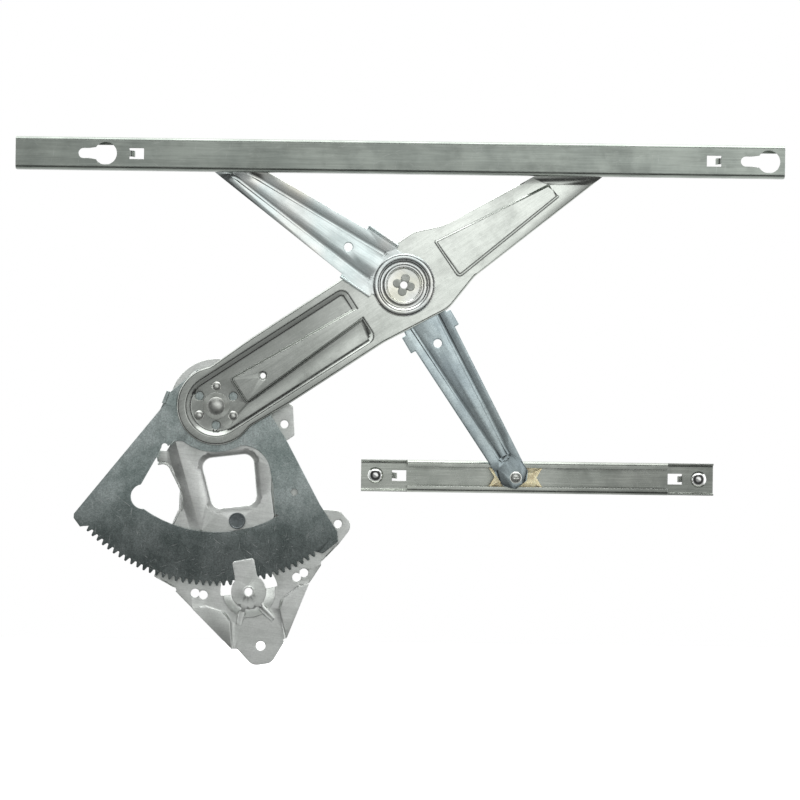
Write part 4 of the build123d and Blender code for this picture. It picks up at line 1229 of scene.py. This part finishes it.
@dataclass
class Channel:
    """A rolled channel with turned-in lips, its punched openings and its glide stops.

    Attributes:
        node: The frame's node.
        name: Name of the finished piece.
        mouth: Side to which it opens.
        lances: Its glide stops, from the left end in metres.
        keyholes: Its keyholes, from the left end.
        bare: Length at each end where the lips and most of the walls are cut away.
        bare_wall: Height of the walls left there, over the web.
        sheet: Thickness of the sheet.
        lip: Width of the lips.
        corner: Outer radius of the bends.
        window: Length and height of a glide stop's window.
        tab_bend: Outer radius of a tab's bend.
        tab_height: Height of a tab.
        tab_leg: Straight length of a tab beyond its bend.
        low: Lowest corner of the channel's box.
        high: Its highest corner.
    """

    node: str
    name: str
    mouth: Mouth
    lances: tuple[Lance, ...]
    keyholes: tuple[Keyhole, ...] = ()
    bare: float = 0.0
    bare_wall: float = 0.004
    sheet: float = 0.0015
    lip: float = 0.0055
    corner: float = 0.0032
    window: tuple[float, float] = (0.012, 0.009)
    tab_bend: float = 0.0042
    tab_height: float = 0.005
    tab_leg: float = 0.0016
    low: Vector = field(init=False)
    high: Vector = field(init=False)

    def __post_init__(self) -> None:
        """Take the channel's place from the frame."""
        self.low, self.high = corners_of(self.node)

    @property
    def web(self) -> float:
        """Y of the web's outer face."""
        return self.low.y if self.mouth is Mouth.DOOR else self.high.y

    @property
    def rim(self) -> float:
        """Y of the lips' outer face."""
        return self.high.y if self.mouth is Mouth.DOOR else self.low.y

    def section(self) -> list[Point]:
        """Outer line of the section at the left end.

        Returns:
            Its corners from lip to lip.
        """
        low, high = self.low.z, self.high.z
        line = [(self.low.x, y, z) for y, z in (
            (self.rim, low + self.lip), (self.rim, low), (self.web, low),
            (self.web, high), (self.rim, high), (self.rim, high - self.lip))]
        return line[::-1] if self.mouth is Mouth.DOOR else line

    def line_piece(self, bench: Bench, name: str, points: list[Point]) -> bpy.types.Object:
        """Object that holds an open line.

        Args:
            bench: The bench that holds it.
            name: Its name.
            points: Corners of the line.

        Returns:
            The object.
        """
        mesh = bpy.data.meshes.new(name)
        mesh.from_pydata(points, [(i, i + 1) for i in range(len(points) - 1)], [])
        return bench.new_piece(name, mesh)

    def punch(self, bench: Bench) -> bpy.types.Object:
        """Make the tools for everything that is cut out of the channel.

        Args:
            bench: The bench that holds them.

        Returns:
            The tools as one object.
        """
        inward = self.mouth.value
        tools = PunchSet()
        faces = sorted((self.web - inward * CUT_PAST,
                        self.web + inward * (self.sheet + CUT_PAST)))
        middle = (self.low.z + self.high.z) / 2
        for hole in self.keyholes:
            placed = replace(hole, middle=self.low.x + hole.middle)
            tools.prism(placed.outline(middle), *faces)
        for lance in self.lances:
            x = self.low.x + lance.middle
            half, up = self.window[0] / 2, self.window[1] / 2
            tools.block((x - half, faces[0], middle - up), (x + half, faces[1], middle + up))
        if self.bare:
            edge = self.web + inward * (self.sheet + self.bare_wall)
            span = sorted((edge, self.rim + inward * 2 * CUT_PAST))
            for start, end in ((self.low.x - CUT_PAST, self.low.x + self.bare),
                               (self.high.x - self.bare, self.high.x + CUT_PAST)):
                tools.block((start, span[0], self.low.z - CUT_PAST),
                            (end, span[1], self.high.z + CUT_PAST))
        return tools.tool(bench, "channel_punch")

    def tab_line(self, lance: Lance) -> list[Point]:
        """Line of a tab: a bend out of the web and a short leg.

        Args:
            lance: The tab's glide stop.

        Returns:
            The line's corners.
        """
        inward = self.mouth.value
        inner = self.web + inward * self.sheet
        root = self.low.x + lance.middle + lance.side * self.window[0] / 2
        turn = self.tab_bend - self.sheet
        middle = (self.low.z + self.high.z - self.tab_height) / 2
        foot = root - lance.side * self.tab_bend
        line = [(root, self.web, middle), (foot, self.web, middle),
                (foot, inner + inward * (turn + self.tab_leg), middle)]
        return line[::-1] if lance.side * inward > 0 else line

    def build(self, bench: Bench, strip: RolledStrip) -> bpy.types.Object:
        """Roll, punch and hand over the channel.

        Args:
            bench: The bench.
            strip: The tree that rolls strips.

        Returns:
            The finished channel.
        """
        tool = self.punch(bench)
        piece = self.line_piece(bench, self.name, self.section())
        strip.grow(piece, bench, run=(self.high.x - self.low.x, 0.0, 0.0), sheet=self.sheet,
                   corner=self.corner, punch=tool, finish=bench.finish_of(self.node))
        bpy.data.objects.remove(tool)
        meshes = [piece.data]
        for lance in self.lances:
            tab = self.line_piece(bench, "tab", self.tab_line(lance))
            strip.grow(tab, bench, run=(0.0, 0.0, self.tab_height), sheet=self.sheet,
                       corner=self.tab_bend, finish=bench.finish_of(self.node))
            meshes.append(tab.data)
            bpy.data.objects.remove(tab)
        self.join(piece, meshes)
        bench.soften(piece, GROWN)
        return bench.hand_over(piece, self.node)

    def join(self, piece: bpy.types.Object, meshes: list[bpy.types.Mesh]) -> None:
        """Gather meshes in one piece, their faces outwards.

        Args:
            piece: The piece that gets them.
            meshes: The meshes.
        """
        work = bmesh.new()
        for mesh in meshes:
            work.from_mesh(mesh)
        bmesh.ops.remove_doubles(work, verts=work.verts, dist=SAME_SPOT)
        bmesh.ops.recalc_face_normals(work, faces=work.faces)
        piece.data = mesh_of(work, piece.name)


@dataclass
class TurnedPin:
    """A headed pin, stud or row of rivets, grown on its axes.

    Attributes:
        node: The frame's node.
        name: Name of the finished piece.
        head_radius: Radius of the domed head.
        head_height: Height of the domed head.
        shank_radius: Radius of the shank.
        forward: Whether the head faces the viewer.
        collar_radius: Radius of the collar, 0 where there is none.
        collar_height: Height of the collar.
        collar_drop: Distance from the head's seat to the collar.
        spots: Axes of the pins along X and Z, or none for the node's own middle.
    """

    node: str
    name: str
    head_radius: float
    head_height: float
    shank_radius: float
    forward: bool = True
    collar_radius: float = 0.0
    collar_height: float = 0.001
    collar_drop: float = 0.0
    spots: tuple[Spot, ...] = ()

    def build(self, bench: Bench, pin: HeadedPin) -> bpy.types.Object:
        """Grow and hand over the pins.

        Args:
            bench: The bench.
            pin: The tree that turns pins.

        Returns:
            The finished piece.
        """
        low, high = corners_of(self.node)
        spots = self.spots or (((low.x + high.x) / 2, (low.z + high.z) / 2),)
        seat = low.y + self.head_height if self.forward else high.y - self.head_height
        mesh = bpy.data.meshes.new(self.name)
        mesh.from_pydata([(x, seat, z) for x, z in spots], [], [])
        piece = bench.new_piece(self.name, mesh)
        length = high.y - low.y - self.head_height
        pin.grow(piece, bench, head_radius=self.head_radius, head_height=self.head_height,
                 shank_radius=self.shank_radius, shank_length=length,
                 collar_radius=self.collar_radius, collar_height=self.collar_height,
                 collar_drop=self.collar_drop, lean=math.pi / 2 if self.forward else -math.pi / 2,
                 finish=bench.finish_of(self.node))
        bench.soften(piece, GROWN)
        return bench.hand_over(piece, self.node)


# Sub-assemblies

@dataclass
class BasePlate:
    """The pressed base plate with the sector's pivot and stop.

    Attributes:
        bend: Rounding of the pressing's bends.
        pivot_head: Radius and height of the pivot's domed head.
        pivot_shank: Radius of its shank.
        rear_collar: Radius and height of its rear head, and the drop from the front one's seat.
        disc_edge: Rounding of the washer and the spacer.
        stop_edge: Rounding of the stop stud.
    """

    bend: float = 0.0007
    pivot_head: tuple[float, float] = (0.0076, 0.002)
    pivot_shank: float = 0.006
    rear_collar: tuple[float, float, float] = (0.0086, 0.002, 0.0089)
    disc_edge: float = 0.0002
    stop_edge: float = 0.0004

    def dress(self, bench: Bench, pin: HeadedPin) -> None:
        """Make the plate and what is fixed to it.

        Args:
            bench: The bench.
            pin: The tree that turns pins.
        """
        bench.pressed("base_plate", "base_plate_pressing", self.bend)
        radius, height, drop = self.rear_collar
        TurnedPin("sector_pivot_stud", "pivot_stud", *self.pivot_head, self.pivot_shank,
                  collar_radius=radius, collar_height=height, collar_drop=drop).build(bench, pin)
        bench.pressed("pivot_washer", "pivot_washer_ring", self.disc_edge)
        bench.pressed("pivot_spacer", "pivot_spacer_disc", self.disc_edge)
        bench.pressed("sector_stop_stud", "stop_stud", self.stop_edge)


@dataclass
class SectorDrive:
    """The toothed sector and the rivets that tie it to the lift arm.

    Attributes:
        edge: Rounding of the sheared edges.
        rivet_circle: Radius of the circle of rivets.
        rivet_head: Radius and height of a rivet's head.
        rivet_shank: Radius of its shank.
        rivet_turns: Angles of the rivets on their circle, in degrees; one is at the top.
    """

    edge: float = 0.0003
    rivet_circle: float = 0.0163
    rivet_head: tuple[float, float] = (0.0042, 0.0015)
    rivet_shank: float = 0.0026
    rivet_turns: tuple[float, ...] = (90.0, 210.0, 330.0)

    def dress(self, bench: Bench, pin: HeadedPin) -> None:
        """Make the sector and its rivets.

        Args:
            bench: The bench.
            pin: The tree that turns pins.
        """
        bench.pressed("sector_gear", "toothed_sector", self.edge)
        low, high = corners_of("sector_rivets")
        middle = (low.x + high.x) / 2
        height = high.z - self.rivet_head[0] - self.rivet_circle
        spots = tuple((middle + self.rivet_circle * math.cos(turn),
                       height + self.rivet_circle * math.sin(turn))
                      for turn in map(math.radians, self.rivet_turns))
        TurnedPin("sector_rivets", "sector_rivet_row", *self.rivet_head, self.rivet_shank,
                  spots=spots).build(bench, pin)


@dataclass
class CrossedArms:
    """The lift arm and the two halves of the cross arm, with their pins.

    Attributes:
        bend: Rounding of the pressings' bends.
        pin_head: Radius and height of a glide pin's head.
        pin_shank: Radius of a glide pin.
        lobe_edge: Rounding of the centre rivet.
        slot_edge: Rounding of the slotted pin.
    """

    bend: float = 0.0008
    pin_head: tuple[float, float] = (0.0052, 0.0018)
    pin_shank: float = 0.004
    lobe_edge: float = 0.0004
    slot_edge: float = 0.0002

    def dress(self, bench: Bench, pin: HeadedPin) -> None:
        """Make the arms and their pins.

        Args:
            bench: The bench.
            pin: The tree that turns pins.
        """
        bench.pressed("lift_arm", "lift_arm_pressing", self.bend)
        bench.pressed("cross_arm_upper", "cross_arm_front_half", self.bend)
        bench.pressed("cross_arm_lower", "cross_arm_rear_half", self.bend)
        bench.pressed("centre_rivet", "four_lobed_rivet", self.lobe_edge)
        bench.pressed("cross_pin_lower", "slotted_pin", self.slot_edge)
        for node, name in (("lift_glide_pin", "lift_pin"), ("cross_pin_upper", "cross_pin")):
            TurnedPin(node, name, *self.pin_head, self.pin_shank, forward=False).build(bench, pin)


@dataclass
class Glides:
    """The three nylon glides, notched at both ends.

    Attributes:
        edge: Rounding of the mouldings' edges.
        notch: Depth of the notches.
        tip: Width of the tips beside a notch.
    """

    edge: float = 0.0005
    notch: float = 0.006
    tip: float = 0.0022

    def dress(self, bench: Bench) -> None:
        """Make the glides.

        Args:
            bench: The bench.
        """
        for node in ("lift_glide", "cross_glide_upper", "cross_glide_lower"):
            piece = bench.merged_copy(node, node + "_moulding")
            bench.punched(piece, self.notches(bench, node))
            bench.soften(piece, Rounding(self.edge))
            bench.hand_over(piece, node)

    def notches(self, bench: Bench, node: str) -> bpy.types.Object:
        """Tools that cut the notches of a glide.

        Args:
            bench: The bench that holds them.
            node: The glide's node.

        Returns:
            The tools as one object.
        """
        low, high = corners_of(node)
        middle = (low.z + high.z) / 2
        tools = PunchSet()
        for end, out in ((low.x, -1), (high.x, 1)):
            outside = end + out * CUT_PAST
            tools.prism([(outside, low.z + self.tip), (end, low.z + self.tip),
                         (end - out * self.notch, middle), (end, high.z - self.tip),
                         (outside, high.z - self.tip)], low.y - CUT_PAST, high.y + CUT_PAST)
        return tools.tool(bench, "glide_notches")


@dataclass
class Rails:
    """The glass channel and the guide channel with its mounting studs.

    Attributes:
        stud_head: Radius and height of a mounting stud's head.
        stud_shank: Radius of its shank.
        stud_collar: Radius and height of its collar.
        stud_drop: Distance from the head's seat to the collar.
        glass_length: Length of the glass channel.
        guide_length: Length of the guide channel.
        bare: Length of the guide channel's ends without lips.
    """

    stud_head: tuple[float, float] = (0.0069, 0.0034)
    stud_shank: float = 0.003
    stud_collar: tuple[float, float] = (0.009, 0.0015)
    stud_drop: float = 0.0015
    glass_length: float = 0.6363
    guide_length: float = 0.2974
    bare: float = 0.0392

    def dress(self, bench: Bench, strip: RolledStrip, pin: HeadedPin) -> None:
        """Make the channels and the studs.

        Args:
            bench: The bench.
            strip: The tree that rolls strips.
            pin: The tree that turns pins.
        """
        Channel("glass_channel", "glass_channel_section", Mouth.DOOR,
                (Lance(0.1002, -1), Lance(self.glass_length - 0.0587, 1)),
                (Keyhole(0.0744, 0.0182), Keyhole(self.glass_length - 0.0133, 0.0191))
                ).build(bench, strip)
        Channel("guide_channel", "guide_channel_section", Mouth.VIEWER,
                (Lance(0.0322, -1), Lance(self.guide_length - 0.0322, 1)),
                bare=self.bare).build(bench, strip)
        radius, height = self.stud_collar
        for side in ("left", "right"):
            TurnedPin("guide_stud_" + side, "mounting_stud_" + side, *self.stud_head,
                      self.stud_shank, collar_radius=radius, collar_height=height,
                      collar_drop=self.stud_drop).build(bench, pin)


# Studio

@dataclass(frozen=True)
class Tent:
    """Brightness of the light tent as the metal sees it.

    Attributes:
        top: Overhead.
        bottom: Underneath.
        side: Left and right.
        behind: On the door's side.
        ring: Between the wall behind the camera and the sides, where the tent is open.
        front_low: Round the camera, towards the lower left.
        front_high: Round the camera, towards the upper right.
        back_from: Depths between which the sides pass into the wall behind.
        under_from: Heights between which the underside passes into the sides.
        top_from: Heights between which the sides pass into the top.
        ring_from: Depths between which the sides pass into the ring.
        front_from: Depths between which the ring passes into the wall round the camera.
        slant_from: Places on the slant between which that wall passes from low to high.
        slant: Shares of across and height in the slant.
        unbound: A level above all others, which limits nothing.
    """

    top: float = 1.9
    bottom: float = 0.8
    side: float = 1.6
    behind: float = 1.0
    ring: float = 0.04
    front_low: float = 0.31
    front_high: float = 1.15
    back_from: tuple[float, float] = (-0.2, 0.6)
    under_from: tuple[float, float] = (-0.65, -0.1)
    top_from: tuple[float, float] = (0.25, 0.75)
    ring_from: tuple[float, float] = (-0.2, -0.58)
    front_from: tuple[float, float] = (-0.82, -0.93)
    slant_from: tuple[float, float] = (-0.11, 0.09)
    slant: tuple[float, float] = (0.55, 0.85)
    unbound: float = 2.0


@dataclass
class Studio:
    """White studio: light tent, floor and camera.

    Attributes:
        eye: Place of the camera.
        roll: Roll of the camera, in degrees.
        lens: Focal length in millimetres, for a square picture.
        film: Width of that picture, in millimetres.
        near: Distance from which the camera sees.
        target: Middle of the object, which the lamp looks at.
        floor: Height of the floor.
        reach: Half the floor's width.
        tent: Brightness of the light tent.
    """

    eye: Point = (0.1143, -2.0, 0.2077)
    roll: float = 0.75
    lens: float = 107.14
    film: float = 36.0
    near: float = 0.05
    target: Point = (0.11, 0.0, 0.2)
    floor: float = -0.14
    reach: float = 1.4
    tent: Tent = Tent()

    def build(self) -> None:
        """Set up the camera, the light and the floor."""
        self.camera()
        self.world()
        self.ground()
        self.lamp("overhead_softbox", (0.1, -0.4, 1.5), (1.6, 1.0), 9.0)
        bpy.context.scene.view_settings.view_transform = "Standard"

    def camera(self) -> None:
        """Set the camera square on, a little rolled."""
        data = bpy.data.cameras.new("square_on_camera")
        data.sensor_width = self.film
        data.lens = self.lens
        data.clip_start = self.near
        view = bpy.data.objects.new("square_on_camera", data)
        view.location = self.eye
        view.rotation_euler = (Matrix.Rotation(math.pi / 2, 4, "X")
                               @ Matrix.Rotation(math.radians(self.roll), 4, "Z")).to_euler()
        bpy.context.scene.collection.objects.link(view)
        bpy.context.scene.camera = view

    def lamp(self, name: str, spot: Point, size: tuple[float, float], power: float) -> None:
        """Hang a soft lamp that looks at the middle of the object.

        Args:
            name: Name of the lamp.
            spot: Its place.
            size: Its width and depth.
            power: Its power in watts.
        """
        data = bpy.data.lights.new(name, "AREA")
        data.shape = "RECTANGLE"
        data.size, data.size_y = size
        data.energy = power
        lamp = bpy.data.objects.new(name, data)
        lamp.location = spot
        aim = Vector(self.target) - Vector(spot)
        lamp.rotation_euler = aim.to_track_quat("-Z", "Y").to_euler()
        bpy.context.scene.collection.objects.link(lamp)

    def world(self) -> None:
        """Light tent: white to the camera, graded for the metal."""
        made = bpy.data.worlds.new("light_tent")
        tree, tent = blank_tree(made), self.tent
        across, depth, height = tree.split(tree.add("ShaderNodeTexCoord").outputs["Generated"])
        level = tree.ramp(depth, *tent.back_from, tent.side, tent.behind)
        lower = tree.ramp(height, *tent.under_from, tent.bottom, tent.unbound)
        level = tree.math("MINIMUM", level, lower)
        slant = tree.math("ADD", tree.times(across, tent.slant[0]),
                          tree.times(height, tent.slant[1]))
        front = tree.ramp(slant, *tent.slant_from, tent.front_low, tent.front_high)
        seen = tree.add("ShaderNodeLightPath").outputs["Is Camera Ray"]
        for share, wall in ((tree.ramp(height, *tent.top_from), tent.top),
                            (tree.ramp(depth, *tent.ring_from), tent.ring),
                            (tree.ramp(depth, *tent.front_from), front), (seen, 1.0)):
            level = tree.between(share, level, wall)
        sky = tree.add("ShaderNodeBackground", {"Color": WHITE, "Strength": level})
        tree.add("ShaderNodeOutputWorld", {"Surface": sky.outputs[0]})
        bpy.context.scene.world = made

    def ground(self) -> None:
        """Plain pale floor under the object."""
        mesh = bpy.data.meshes.new("studio_floor")
        mesh.from_pydata([(x * self.reach, y * self.reach, self.floor)
                          for x, y in ((-1, -1), (1, -1), (1, 1), (-1, 1))], [], [(0, 1, 2, 3)])
        floor = bpy.data.objects.new("studio_floor", mesh)
        bpy.context.scene.collection.objects.link(floor)
        made = bpy.data.materials.new("pale_floor")
        made.use_nodes = True
        shader = made.node_tree.nodes["Principled BSDF"]
        shader.inputs["Base Color"].default_value = (0.9, 0.9, 0.9, 1.0)
        shader.inputs["Roughness"].default_value = 0.9
        shader.inputs["Emission Color"].default_value = WHITE
        shader.inputs["Emission Strength"].default_value = 0.35
        mesh.materials.append(made)
        floor.visible_glossy = False


def main() -> None:
    """Build the regulator's sub-assemblies in order, then the studio."""
    logging.basicConfig(level=logging.INFO, format="%(name)s: %(message)s")
    bench = Bench(plated_finishes().mix(Effects()))
    pin, strip = HeadedPin(), RolledStrip()
    BasePlate().dress(bench, pin)
    SectorDrive().dress(bench, pin)
    CrossedArms().dress(bench, pin)
    Glides().dress(bench)
    Rails().dress(bench, strip, pin)
    Studio().build()


if __name__ == "__main__":
    main()
